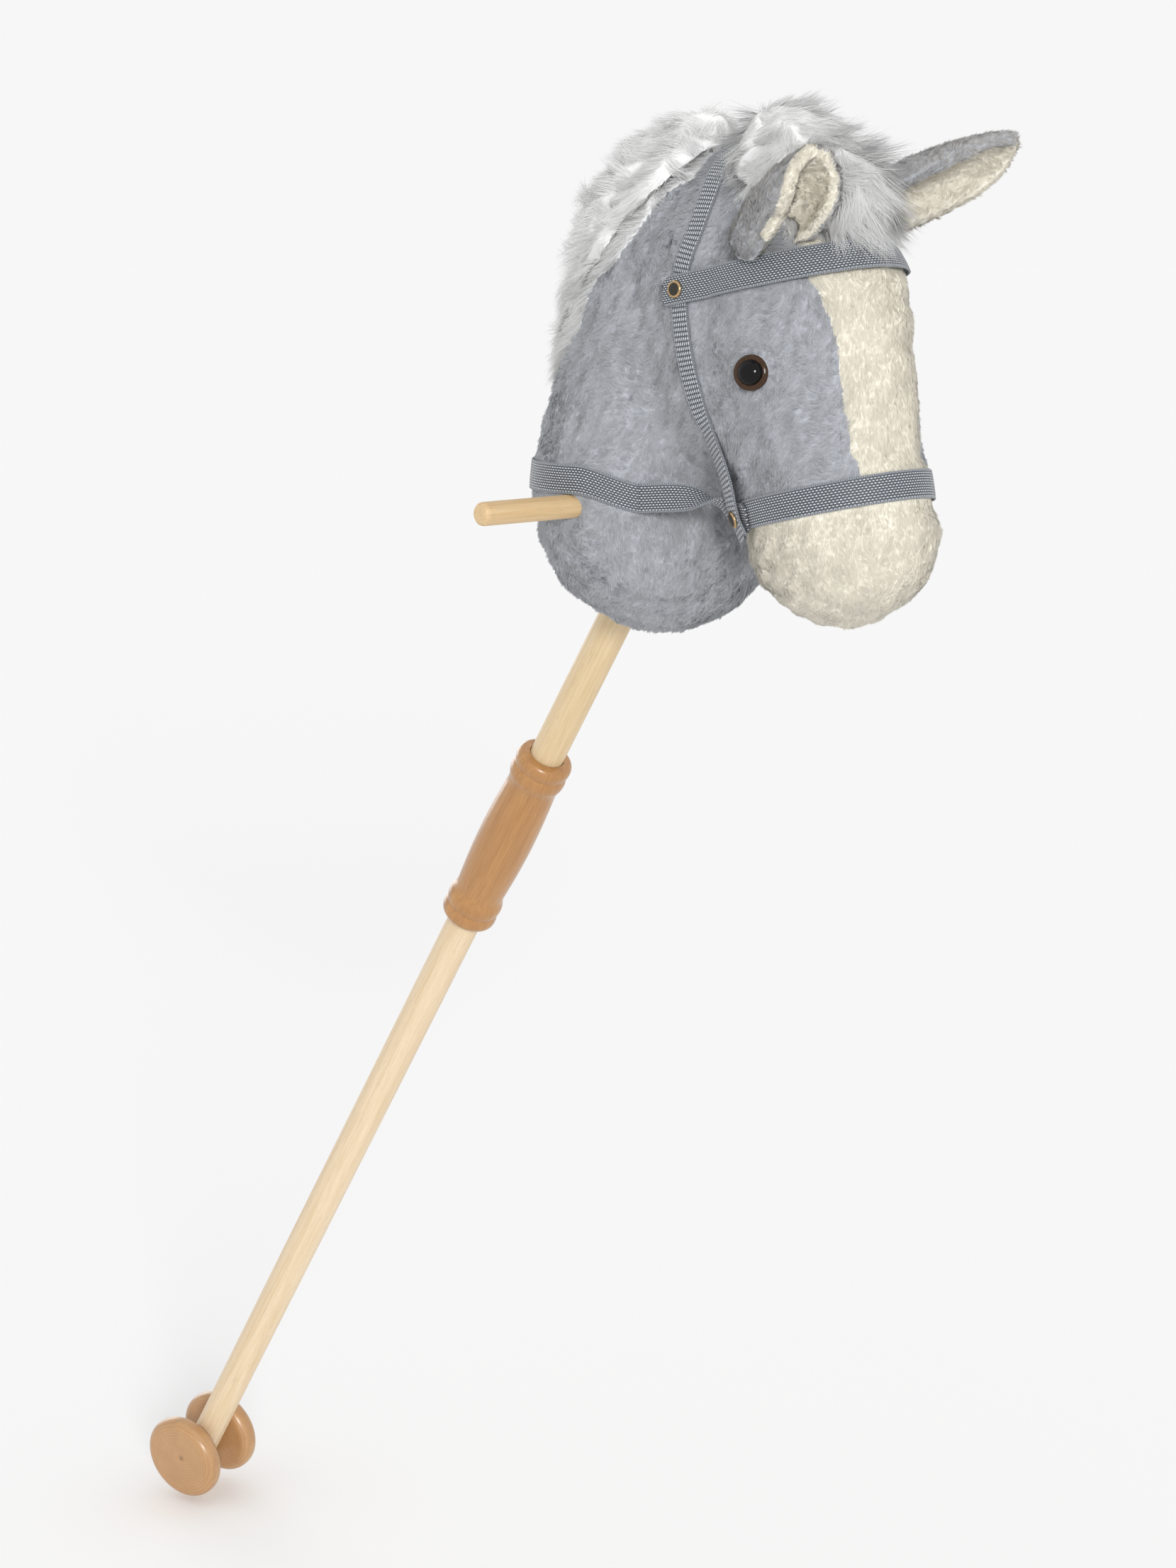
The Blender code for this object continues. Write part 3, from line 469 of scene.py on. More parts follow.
def stuffed(mesh, held, slack, cap):
    """Fill a cover under pressure: it starts slack, and held (0 to 1) keeps it down."""
    points, _, normals = arrays(mesh)
    loose = normals * (slack * (1 - held))[:, None]
    start = points - loose
    move_to(mesh, start)
    holder = added("stuffing", mesh)
    pins = holder.vertex_groups.new(name="held")
    for i, weight in enumerate(held):
        if weight > 0.01:
            pins.add([i], float(weight), "REPLACE")
    cloth = holder.modifiers.new("stuffing", "CLOTH")
    for key, value in {"quality": 4, "mass": 0.25, "tension_stiffness": 14,
                       "compression_stiffness": 14, "bending_stiffness": 0.6,
                       "use_pressure": True, "uniform_pressure_force": 4,
                       "vertex_group_mass": "held"}.items():
        setattr(cloth.settings, key, value)
    cloth.settings.effector_weights.gravity = 0
    cloth.point_cache.frame_start = 1
    cloth.point_cache.frame_end = CLOTH_STEPS
    for step in range(1, CLOTH_STEPS + 1):
        bpy.context.scene.frame_set(step)
    done = settled(holder)
    bpy.context.scene.frame_set(1)
    filled, _, _ = arrays(done)
    move = filled - start
    far = np.linalg.norm(move, axis=1, keepdims=True)
    return move_to(done, start + move * np.minimum(1, cap / np.maximum(far, 1e-9)))


def past_edge(local):
    """How far points lie in front of the blaze's edge."""
    edge, height = np.array(BLAZE_EDGE).T * MM
    return local[:, 0] - np.interp(local[:, 2], height, edge)


def nose_height(x):
    return NOSE_SEAM_HEIGHT + math.tan(NOSE_SEAM_RISE) * (x - NOSE_SEAM_AT)


def region_of(points):
    """0 grey, 1 cream muzzle, 2 cream blaze for points near the skin."""
    local = points - HEAD_NP
    low = local[:, 2] < nose_height(local[:, 0])
    ahead = local[:, 0] > 62 * MM
    region = np.zeros(len(points), int)
    region[low & ahead] = 1
    region[~low & (past_edge(local) > 0)] = 2
    return region


def near(trees, points, reach):
    """Distance from each point to the nearest of some meshes, up to reach."""
    found = np.full(len(points), reach)
    for tree in trees:
        for i, point in enumerate(points):
            hit = tree.find_nearest(point, found[i])
            if hit[0] is not None:
                found[i] = min(found[i], hit[3])
    return found


# Bridle

def layer(number):
    return STRAP_GAP + number * STRAP_STEP


def spread(width):
    return np.linspace(-width / 2, width / 2, 7)


def band_rows(centre, height, rise, spot, lift, steps):
    """Rows of (place, outward normal) round the face from spot to its twin on the far
    side, in a plane that rises forward."""
    place, _ = skin.side(spot[0] - STRAP_TAIL, spot[1], 1)
    limit = math.atan2(place.y, place.x - HEAD_AT.x - centre)
    rows = []
    for turn in np.linspace(-limit, limit, steps + 1):
        out = level(turn)
        row = []
        for offset in reversed(spread(WIDE_STRAP)):
            guess, _ = skin.inward(centre, height + offset, out, 0.0, FACE)
            climb = rise * (guess.x - HEAD_AT.x - centre)
            row.append(skin.inward(centre, height + offset + climb, out, lift, FACE))
        rows.append(row)
    return rows


def headpiece_rows():
    run = np.array(HEADPIECE_RUN)
    marks = np.linspace(0, len(run) - 1, 70)
    dense = np.column_stack([np.interp(marks, np.arange(len(run)), row) for row in run.T])
    for _ in range(3):
        dense[1:-1] = (dense[:-2] + dense[1:-1] * 2 + dense[2:]) / 4
    flank = []
    for i, (x, z, under) in enumerate(dense):
        low = dense[max(i - 1, 0)]
        high = dense[min(i + 1, len(dense) - 1)]
        way = Vector((high[0] - low[0], 0, high[1] - low[1])).normalized()
        wide = Vector((way.z, 0, -way.x))
        spots = [Vector((x, 0, z)) * MM + wide * offset for offset in spread(NARROW_STRAP)]
        flank.append([skin.side(p.x, p.z, -1, layer(under), FACE) for p in spots])
    poll = []
    first = math.radians(-8)
    for turn in np.linspace(first, math.pi - first, 65):
        out = Vector((0, -math.cos(turn), math.sin(turn)))
        middle = POLL_TOP + (POLL_SIDE - POLL_TOP) * abs(math.cos(turn))
        poll.append([skin.inward(middle + offset, POLL_AXIS_HEIGHT, out, layer(0))
                     for offset in spread(NARROW_STRAP)])
    return flank + poll + mirrored(flank)


def mirrored(rows):
    return [[(Vector((p.x, -p.y, p.z)), Vector((n.x, -n.y, n.z))) for p, n in row]
            for row in reversed(rows)]


def rein_rows():
    lift = layer(0) + STRAP_THICKNESS
    flat = []
    for ahead in np.linspace(1.0, -0.6, 10):
        x = BIT_RIVET[0] + STRAP_TAIL * ahead
        flat.append([skin.side(x, BIT_RIVET[1] + offset, -1, layer(1), ("face",))
                     for offset in spread(WIDE_STRAP)])
    rivet = flat[-1][3][0]
    first_turn = math.radians(-56)
    bar_turn = math.radians(-78.5)

    def on_neck(turn):
        climb = min(1.0, (first_turn - turn) / (first_turn - bar_turn))
        climb = 0.6 * climb + 0.4 * (3 * climb ** 2 - 2 * climb ** 3)
        height = REIN_LANDING + (REIN_HEIGHT - REIN_LANDING) * climb
        row = [skin.inward(REIN_CENTRE, height + offset, level(turn), lift, ("neck",))
               for offset in reversed(spread(WIDE_STRAP))]
        return [(place, -normal) for place, normal in row]

    landing = on_neck(first_turn)
    end = (landing[0][0] + landing[-1][0]) / 2
    way = (end - rivet).normalized()
    outward = way.cross(Vector((0, 0, 1))).normalized()
    if outward.y > 0:
        outward.negate()
    bridge = []
    for run in np.linspace(0, 1, 41)[1:-1]:
        turn = math.pi * (1 - (1 - max(0.0, run - 0.05) / 0.95) ** 2.6)
        wide = Vector((0, 0, 1)) * math.cos(turn) + outward * math.sin(turn)
        middle = rivet.lerp(end, run)
        middle.z += REIN_BOW * math.sin(math.pi * run ** 0.8)
        bridge.append([(middle + wide * offset, wide.cross(-way).normalized())
                       for offset in spread(WIDE_STRAP)])
    wrap = [on_neck(turn) for turn in np.linspace(first_turn, -math.pi, 91)]
    right = flat + bridge + wrap[:-1]
    return right + wrap[-1:] + mirrored(right)


def smooth_rows(rows):
    """Places and normals of a strap's rows, evened out along the strap."""
    both = np.array([[(*place, *normal) for place, normal in row] for row in rows])
    for _ in range(2):
        both[1:-1] = (both[:-2] + 2 * both[1:-1] + both[2:]) / 4
    return both[..., :3], unit(both[..., 3:])


def strap(name, rows, material):
    """A woven strap with its own coordinates in mm, slightly domed over its width."""
    places, normals = smooth_rows(rows)
    count, wide = places.shape[:2]
    steps = np.linalg.norm(np.diff(places[:, wide // 2], axis=0), axis=1)
    along = np.concatenate([[0], np.cumsum(steps)])
    width = np.linalg.norm(places[count // 2, 0] - places[count // 2, -1])
    for end, inner in ((0, 1), (-1, -2)):
        way = unit(places[end] - places[inner])
        bow = 1 - np.sqrt(1 - np.linspace(-1, 1, wide) ** 4)
        places[end] -= way * (bow * 2.5 * MM)[:, None]
    across = np.linspace(-1, 1, wide)
    lift = (STRAP_THICKNESS - STRAP_DOME * across ** 4)[:, None]
    points = np.concatenate([places, places + normals * lift]).reshape(-1, 3)
    grid = np.arange(count * wide).reshape(count, wide)
    under = np.stack([grid[:-1, :-1], grid[1:, :-1], grid[1:, 1:], grid[:-1, 1:]], -1)
    under = under.reshape(-1, 4)
    over = under[:, [0, 3, 2, 1]] + grid.size
    rim = np.concatenate([grid[:, 0], grid[-1, 1:], grid[-2::-1, -1], grid[0, -2:0:-1]])
    after = np.roll(rim, -1)
    wall = np.stack([rim, after, after + grid.size, rim + grid.size], -1)
    mesh = bpy.data.meshes.new(name)
    mesh.from_pydata(points.tolist(), [], np.concatenate([under, over, wall]).tolist())
    bm = bmesh.new()
    bm.from_mesh(mesh)
    bmesh.ops.recalc_face_normals(bm, faces=bm.faces)
    bm.to_mesh(mesh)
    bm.free()
    flat = np.zeros((2, count, wide))
    mark(mesh, "along", (flat + along[:, None] / MM).ravel())
    mark(mesh, "across", (flat + (across + 1) * width / 2 / MM).ravel())
    mark(mesh, "edge", (flat + np.abs(across)).ravel())
    made = put(name + "_webbing", mesh, material, replaces=(name,))
    mesh.set_sharp_from_angle(angle=math.radians(50))
    return made


webbing = webbing_material("webbing", 1.9, 1.3, 0.5, 0.68)
rung_webbing = webbing_material("rung_webbing", 2.45, 1.25, 0.0, 0.80)
brow_height = BROW_RIVET[1] + BROW_RISE * (BROW_CENTRE - BROW_RIVET[0])
brow_rows = band_rows(BROW_CENTRE, brow_height, BROW_RISE, BROW_RIVET, layer(1), 130)
nose_rows = band_rows(NOSE_SEAM_AT, NOSE_SEAM_HEIGHT, math.tan(NOSE_SEAM_RISE), BIT_RIVET,
                      layer(0), 120)
straps = [strap("browband", brow_rows, webbing), strap("noseband", nose_rows, webbing),
          strap("headpiece", headpiece_rows(), rung_webbing), strap("rein", rein_rows(), webbing)]


# Eyes and rivets

SIDES = (("left", 1), ("right", -1))


def arc(middle, reach, start, end, steps):
    """Points of a turned edge between two angles in degrees, in mm."""
    turns = [math.radians(start + (end - start) * i / steps) for i in range(steps + 1)]
    return [(middle[0] + reach[0] * math.cos(t), middle[1] + reach[1] * math.sin(t)) for t in turns]


def eyes():
    pupil = plain_material("eye_black", (0.004, 0.003, 0.003), 0.07, vary=0.3, shine=0.22)
    iris = plain_material("eye_brown", (0.060, 0.030, 0.015), 0.14, vary=0.35, shine=0.22)
    bend = [(1 - math.cos(t), math.sin(t)) for t in np.linspace(0.2, math.pi / 2, 8)]
    ring = ([(0.0, 2.0), (6.2, 2.0), (6.3, 2.1)]
            + [(6.3 + 2.7 * fall, 2.1 + 1.1 * climb - 1.9 * fall) for fall, climb in bend]
            + [(9.0, 0.0), (2.0, 0.0), (2.0, -14.0), (0.0, -14.0)])
    dome = ([(0.0, 6.3)] + arc((0, 2.1), (6.45, 4.2), 90, 0, 13)[1:] + [(6.45, 1.4), (0.0, 1.4)])
    for side, sign in SIDES:
        surface, _ = skin.side(*EYE_AT, sign)
        outward = Vector((math.sin(EYE_TURN), sign * math.cos(EYE_TURN), 0.12)).normalized()
        place = surface - outward * 1.6 * MM
        put(f"eye_ring_{side}", lathe_mesh(f"eye_ring_{side}", ring, 64, place, outward), iris,
            replaces=(f"eye_{side}",))
        put(f"eye_dome_{side}", lathe_mesh(f"eye_dome_{side}", dome, 64, place, outward), pupil)


def rivets():
    steel = plain_material("rivet_steel", (0.045, 0.043, 0.033), 0.30, metallic=0.6, vary=0.15)
    brass = plain_material("rivet_brass", (0.55, 0.37, 0.19), 0.2, metallic=1.0, vary=0.15)
    for kind, spot, under in (("brow", BROW_RIVET, 2), ("bit", BIT_RIVET, 3.6)):
        top = layer(under) / MM - 0.45
        cap = [(0.0, 1.45)] + [(r, 1.45 - 0.35 * (r / 3.1) ** 2) for r in (1.0, 2.0, 2.7, 3.1)]
        cap += [(3.3, 0.95), (3.6, 1.1), (4.0, 1.0), (4.35, 0.6), (4.5, 0.1), (4.4, 0.0),
                (1.5, 0.0), (1.5, -2.5), (0.0, -2.5)]
        cap = [(radius, top + height) for radius, height in cap]
        for side, sign in SIDES:
            place, normal = skin.side(*spot, sign, 0.0, FACE)
            name = f"{kind}_rivet_{side}"
            made = put(f"{kind}_rivet_cap_{side}", lathe_mesh(name, cap, 48, place, normal),
                       (brass, steel), replaces=(name,))
            for face in made.data.polygons:
                off_centre = (face.center - place).cross(normal).length
                face.material_index = 1 if off_centre < 3.25 * MM else 0


eyes()
rivets()


# The cover is stuffed under its straps

STRAP_TREES = [tree_of(one.data) for one in straps]
EYES = [np.array(skin.side(*EYE_AT, sign)[0]) for sign in (-1, 1)]
MUZZLE_SWELL = 5.5 * MM


def eye_gap(points):
    """Distance from each point to the nearer eye."""
    return np.min([np.linalg.norm(points - eye, axis=1) for eye in EYES], axis=0)


def seam_gap(points):
    """Distance in mm from the blaze's two seams, large below the nose seam."""
    local = points - HEAD_NP
    return np.where(local[:, 2] > 2 * MM, np.abs(past_edge(local)) / MM * 0.9, 99.0)


def make_cover():
    mesh = joined("plush_skin", forms.values(), 4.2 * MM)
    points, _, _ = arrays(mesh)
    held = np.clip(1.25 - near(STRAP_TREES, points, 9 * MM) / (7 * MM), 0, 1)
    held = np.maximum(held, np.clip(1.3 - eye_gap(points) / (11 * MM), 0, 1))
    mesh = subdivided("plush_skin", stuffed(mesh, held, 2.2 * MM, 4.5 * MM), 1)
    points, _, normals = arrays(mesh)
    dip = np.clip(1 - seam_gap(points) / 5, 0, 1) ** 1.5 * 1.8 * MM
    rumple = Field(31, 30 * MM)
    crumple = Field(32, 13 * MM)
    wave = rumple.at(points)[:, 0] * 0.9 * MM + crumple.at(points)[:, 0] * 0.35 * MM
    local = points - HEAD_NP
    below = nose_height(local[:, 0]) - local[:, 2] - WIDE_STRAP / 2
    wave += np.clip(below / (14 * MM), 0, 1) * (local[:, 0] > 70 * MM) * MUZZLE_SWELL
    near_strap = np.clip(near(STRAP_TREES, points, 9 * MM) / (9 * MM), 0, 1)
    far = eye_gap(points) / MM
    near_strap *= np.clip(far / 12 - 0.9, 0, 1)
    dip = np.maximum(dip, np.clip((13.5 - far) / 4, 0, 1) * 1.5 * MM)
    return move_to(mesh, points - normals * dip[:, None] + normals * (wave * near_strap)[:, None])


cover = make_cover()


# Pile

DENSITY = 1.0
STRAND_WIDTH = 0.17 * MM


def scatter(mesh, density, keep):
    """Random roots over a mesh, so many per square mm: places and smooth normals."""
    points, tris, normals = arrays(mesh)
    a, b, c = (points[tris[:, i]] for i in range(3))
    area = np.linalg.norm(np.cross(b - a, c - a), axis=1) / 2 * keep((a + b + c) / 3)
    count = int(density * DENSITY * area.sum() / MM ** 2)
    pick = rng.choice(len(tris), count, p=area / area.sum())
    u, v = rng.random(count), rng.random(count)
    over = u + v > 1
    u[over], v[over] = 1 - u[over], 1 - v[over]
    w = 1 - u - v
    place = a[pick] * w[:, None] + b[pick] * u[:, None] + c[pick] * v[:, None]
    n = [normals[tris[pick, i]] for i in range(3)]
    normal = unit(n[0] * w[:, None] + n[1] * u[:, None] + n[2] * v[:, None])
    return place, normal


def strands(name, place, normal, way, length, clump, tint, material, slot, rise, segments, gather):
    """One blade for each root, leaning towards way and curving on towards its tip.

    way is the tip's direction, rise how steeply a blade leaves the skin, clump a target
    point for each tip and gather how far the tip goes there.
    """
    count = len(place)
    length = length[:, None]
    start = unit(normal * rise + way)
    finish = unit(way + normal * 0.05)
    across = unit(np.cross(finish, normal + rng.normal(size=(count, 3)) * 0.45))
    rows = []
    for k in range(segments + 1):
        t = k / segments
        point = place + length * (start * (t - t * t / 2) + finish * (t * t / 2)) * 1.05
        point = point + (clump - point) * (t ** 1.5 * gather)
        half = across * (STRAND_WIDTH * 0.5 * (1 - 0.55 * t ** 1.5))
        rows += [point - half, point + half] if k < segments else [point]
    per = len(rows)
    points = np.stack(rows, 1).reshape(-1, 3)
    faces = []
    for k in range(0, per - 3, 2):
        faces += [(k, k + 1, k + 3), (k, k + 3, k + 2)]
    faces = np.array(faces + [(per - 3, per - 2, per - 1)], np.int32)
    tris = (faces[None] + (np.arange(count, dtype=np.int32) * per)[:, None, None]).reshape(-1, 3)
    mesh = bpy.data.meshes.new(name)
    mesh.vertices.add(len(points))
    mesh.vertices.foreach_set("co", points.astype(np.float32).ravel())
    mesh.loops.add(tris.size)
    mesh.loops.foreach_set("vertex_index", tris.ravel())
    mesh.polygons.add(len(tris))
    mesh.polygons.foreach_set("loop_start", np.arange(0, tris.size, 3, dtype=np.int32))
    mesh.update(calc_edges=True)
    mark(mesh, "along", np.tile([k // 2 / segments for k in range(per - 1)] + [1.0], count))
    mark(mesh, "tint", np.repeat(tint, per))
    mesh.attributes.new("skin", "FLOAT_VECTOR", "POINT").data.foreach_set(
        "vector", np.repeat(normal, per, axis=0).astype(np.float32).ravel())
    put(name, mesh, material)


def planted(name, limit, roots, *look):
    """Strands in pieces of so many at most; roots holds the arrays that strands takes."""
    for k in range(0, len(roots[0]), limit):
        strands(f"{name}_{k // limit + 1}", *(values[k:k + limit] for values in roots), *look)


def tangent(way, normal):
    return unit(way - normal * np.sum(way * normal, axis=1, keepdims=True))


COVER_TREE = tree_of(cover)
WHITE_SKIN = skin_material("white_backing", (0.93, 0.93, 0.92), (0.88, 0.885, 0.88))


def hair_core(node, inset):
    """The dense inside of the long hair: the solid's form, drawn in where it leaves the skin."""
    mesh = skinned(f"{node}_core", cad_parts[node].data.copy(), 2.2 * MM, 8)
    points, _, normals = arrays(mesh)
    clear = near([COVER_TREE], points, 14 * MM)
    lump = Field(51, 17 * MM).at(points)[:, 0].clip(-1.5, 1.5) * 1.1 * MM
    depth = np.clip(clear / (14 * MM), 0, 1) ** 0.7 * (inset + lump)
    move_to(mesh, points - normals * depth[:, None])
    put(f"{node}_core", mesh, WHITE_SKIN, replaces=(node,))
    return mesh


CORES = {node: hair_core(node, 3.0 * MM) for node in ("mane", "forelock")}
CORE_TREES = [tree_of(mesh) for mesh in CORES.values()]


MANE_LINE = [(60, -60), (69, -31), (82, -21), (98, -15), (117, -6), (126, 7), (140, 15), (158, 26),
             (168, 38), (190, 41)]


def fringe(centre):
    """1 on the cover's hairy strip in front of and below the mane and round the forelock."""
    x, y, z = ((centre - HEAD_NP) / MM).T
    height, edge = np.array(MANE_LINE, float).T
    mane = (x < np.interp(z, height, edge)) & (z > 60)
    wide = np.interp(x, [55, 80, 110, 125], [26, 33, 30, 18])
    return (mane | ((x > 55) & (z > 139) & (np.abs(y) < wide))) * 1.0


def hair_of(centre):
    """1 where the cover lies under the long hair."""
    return np.maximum((near(CORE_TREES, centre, 4 * MM) < 2 * MM) * 1.0, fringe(centre))


def outer(centre):
    """1 on the side of a core that looks away from the cover."""
    return (near([COVER_TREE], centre, 3 * MM) > 1.2 * MM) * 1.0


GREY_PILE = pile_material("grey_pile", (0.72, 0.735, 0.765), (0.60, 0.615, 0.65), 0.13, 0.42)
EAR_PILE = pile_material("ear_pile", (0.76, 0.75, 0.74), (0.64, 0.63, 0.62), 0.13, 0.5)
CREAM_PILE = pile_material("cream_pile", (0.995, 0.965, 0.875), (0.985, 0.94, 0.83), 0.03, 0.45)
WHITE_PILE = pile_material("white_pile", (0.995, 0.995, 0.99), (0.99, 0.99, 0.985), 0.03, 0.5)

grey_skin = skin_material("grey_backing", (0.46, 0.48, 0.52), (0.40, 0.415, 0.45))
cream_skin = skin_material("cream_backing", (0.93, 0.895, 0.79), (0.88, 0.84, 0.73))


centres = rows_of(cover.polygons, "center")
tone = np.where(hair_of(centres) > 0.5, 2, np.minimum(region_of(centres), 1))
plush = put("plush_skin", cover, (grey_skin, cream_skin, WHITE_SKIN),
            replaces=("neck", "head", "blaze", "muzzle"))
cover.polygons.foreach_set("material_index", tone.astype(np.int32))

# The lie of the short pile: a slow turn, a quick one and a change of length
sway = Field(3, 60 * MM)
fuss = Field(5, 14 * MM)
patch = Field(9, 26 * MM)


def nearest(seeds, points):
    """The index of the nearest seed for each point."""
    tree = KDTree(len(seeds))
    for i, seed in enumerate(seeds):
        tree.insert(seed, i)
    tree.balance()
    return np.array([tree.find(point)[1] for point in points])


def pile_way(place, normal, lie):
    """The combed direction of short pile, turned away from the eyes."""
    way = np.broadcast_to(np.array(lie, float), place.shape)
    way = way + sway.at(place) * 0.42 + fuss.at(place) * 0.26
    for eye in EYES:
        out = place - eye
        far = np.linalg.norm(out, axis=1, keepdims=True)
        way = way + out / np.maximum(far, 1e-9) * 3 * np.clip(1.6 - far / (11 * MM), 0, 1)
    return tangent(way, normal)


def short_pile(name, keep, density, length, material, slot, lie, mesh=None, bare=True,
               rise=0.26, gather=0.42, stray=0.2):
    """Short plush in small tufts, pressed down under the bridle and clear of the eyes."""
    mesh = mesh or cover
    place, normal = scatter(mesh, density, keep)
    if bare:
        clear = eye_gap(place)
        place, normal, clear = (v[clear > EYE_BARE] for v in (place, normal, clear))
    seeds = rng.choice(len(place), max(40, len(place) // 20), replace=False)
    own = nearest(place[seeds], place)
    way = pile_way(place, normal, lie)
    seed_way = unit(way[seeds] + rng.normal(size=(len(seeds), 3)) * stray)
    lift = rng.uniform(0.2 * rise, 1.4 * rise, len(seeds))
    seed_tip = unit(seed_way + normal[seeds] * lift[:, None])
    seed_size = length * rng.uniform(0.85, 1.15, len(seeds))
    size = seed_size[own] * rng.uniform(0.75, 1.2, len(place))
    size *= 1 + 0.18 * patch.at(place)[:, 0].clip(-1, 1)
    if bare:
        reach = 2.0 * MM
        gap = near(STRAP_TREES, place + normal * 0.9 * MM, reach)
        pressed = np.interp(gap, [0, 0.7 * MM, reach], [1.0 * MM, 1.3 * MM, length])
        size = np.where(gap < reach, np.minimum(size, pressed), size)
        size = np.where(clear < 12 * MM, np.minimum(size, 2.2 * MM), size)
    tip = unit(seed_tip[own] + rng.normal(size=place.shape) * 0.13)
    target = place[seeds][own] + seed_tip[own] * size[:, None]
    shade = 0.5 + 0.16 * rng.normal(size=len(seeds))[own] + 0.16 * rng.normal(size=len(place))
    shade = np.clip(shade + 0.12 * fuss.at(place)[:, 1], 0, 1)
    planted(name, 66000, (place, normal, tip, size, target, shade), material, slot, rise, 2, gather)


def colour_of(region):
    """Keeps one colour of the cover, out from under the long hair."""
    return lambda centre: (region_of(centre) == region) * (1 - hair_of(centre) * 0.93)


short_pile("pile_grey", colour_of(0), 6.5, 2.7 * MM, GREY_PILE, "grey_plush", (-0.35, 0, -0.75))
short_pile("pile_muzzle", colour_of(1), 8.0, 2.3 * MM, CREAM_PILE, "cream_plush", (0.15, 0, -0.9),
           rise=0.14, gather=0.2, stray=0.12)
short_pile("pile_blaze", colour_of(2), 8.0, 2.5 * MM, CREAM_PILE, "cream_plush", (0.5, 0, -0.7),
           rise=0.14, gather=0.2, stray=0.12)


# Ears

# Base, axis, way it looks, length, size, angles of the rims at foot and tip, and how far
# the cream comes round the rims, in mm
EARS = {
    "left": ((98, 42, 156), (0.85, 0.40, 0.31), (0.55, -0.30, -0.80), 80, 16.5, 112, 62,
             (-9, 9, 6)),
    "right": ((95.5, -40, 143), (0.79, 0, 0.60), (0.87, -0.08, -0.41), 54, 15, 150, 105,
              (5, -9, -9)),
}
EAR_SUNK = 8


def ear_edge(side, points):
    """Distance round a leaf from its near and its far edge in mm, and the share of its length."""
    base, axis, look, length, size, closed, opened, _ = EARS[side]
    axis = unit(np.array(axis))
    look = np.array(look)
    opening = unit(look - axis * (look @ axis))
    wide = np.cross(axis, opening)
    local = (points - HEAD_NP) / MM - base - opening * size * 0.5
    run = np.clip((local @ axis + EAR_SUNK) / (length + EAR_SUNK), 0, 1)
    turn = np.arctan2(local @ wide, -(local @ opening))
    tip = np.sqrt(np.maximum(0, 1 - (np.maximum(0, run - 0.60) / 0.41) ** 2.2))
    cup = np.radians(opened + (closed - opened) * (1 - run) ** 0.8) * np.maximum(tip, 0.06)
    radius = size * (0.66 + 0.40 * np.sin(np.pi * np.minimum(run / 1.12, 1)) ** 0.8)
    return radius * (cup + turn), radius * (cup - turn), run


for side, (_, ear_axis, _, _, _, _, _, rims) in EARS.items():
    leaf, lining = (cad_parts[f"{kind}_{side}"].data.copy() for kind in ("ear", "ear_lining"))
    ear = joined(f"ear_{side}_skin", (leaf, lining), 1.0 * MM)
    lining_tree = tree_of(lining)

    def cream(centre):
        """1 on the lining and on the turned edges where it comes round."""
        low, high, run = ear_edge(side, centre)
        inside = near([lining_tree], centre, 6 * MM) < 1.3 * MM
        turned = ((low < rims[0]) & (run > 0.34)) | (high < rims[1])
        return ((turned | inside) & (low > rims[2])) * 1.0

    put(f"ear_{side}_skin", ear, (grey_skin, cream_skin),
        replaces=(f"ear_{side}", f"ear_lining_{side}"))
    tone = cream(rows_of(ear.polygons, "center"))
    ear.polygons.foreach_set("material_index", tone.astype(np.int32))
    lie = np.array(ear_axis) * 1.1
    short_pile(f"ear_{side}_pile", lambda c: 1 - cream(c), 6.5, 2.8 * MM, EAR_PILE, "grey_plush",
               lie, mesh=ear, bare=False)
    short_pile(f"ear_{side}_cream_pile", cream, 6.5, 2.6 * MM, CREAM_PILE, "cream_plush", lie,
               mesh=ear, bare=False, rise=0.14, gather=0.2)


# Mane and forelock: long tufts that gather into points

def tufts(name, mesh, keep, density, length, way_of, stand):
    """Long pile over a core or the cover, combed by way_of and drawn into tufts."""
    place, normal = scatter(mesh, density, keep)
    seeds = rng.choice(len(place), max(60, len(place) // 70), replace=False)
    own = nearest(place[seeds], place)
    heads, head_normal = place[seeds], normal[seeds]
    flow = tangent(way_of(heads) + Field(41, 26 * MM).at(heads) * 0.40, head_normal)
    flow = unit(flow + head_normal * rng.uniform(0.7, 1.3, (len(heads), 1)) * stand
                + rng.normal(size=heads.shape) * 0.11)
    reach = length * rng.uniform(0.7, 1.2, len(heads))
    tip_at = heads + flow * reach[:, None]
    size = rng.uniform(0.62, 1.12, len(place)) * reach[own]
    way = unit(flow[own] + rng.normal(size=place.shape) * 0.14)
    target = tip_at[own] + (place - heads[own]) * 0.4 + rng.normal(size=place.shape) * 0.8 * MM
    shade = 0.5 + 0.2 * rng.normal(size=len(seeds))[own] + 0.2 * rng.normal(size=len(place))
    planted(name, 28000, (place, normal, way, size, target, np.clip(shade, 0, 1)),
            WHITE_PILE, "white_pile", 0.28, 4, 0.18)


def mane_way(heads):
    local = (heads - HEAD_NP) / MM
    lower = np.clip((150 - local[:, 2]) / 90, 0, 1)
    return np.stack([-0.55 - 0.1 * lower, 0 * lower, -0.30 - 0.70 * lower], 1)


def forelock_way(heads):
    local = (heads - HEAD_NP) / MM
    ahead = np.clip((local[:, 0] - 60) / 60, 0, 1)
    side = np.clip(local[:, 1] / 30, -1, 1)
    return np.stack([0.35 + 0.35 * ahead, side * 0.45, -0.1 - 0.8 * ahead], 1)


def fringe_way(heads):
    """Forelock hair in front, mane hair behind."""
    ahead = heads[:, :1] - HEAD_NP[0] > 58 * MM
    return np.where(ahead, forelock_way(heads), mane_way(heads))


def fringe_keep(centre):
    return hair_of(centre) * (near(CORE_TREES, centre, 3 * MM) > 0.5 * MM)


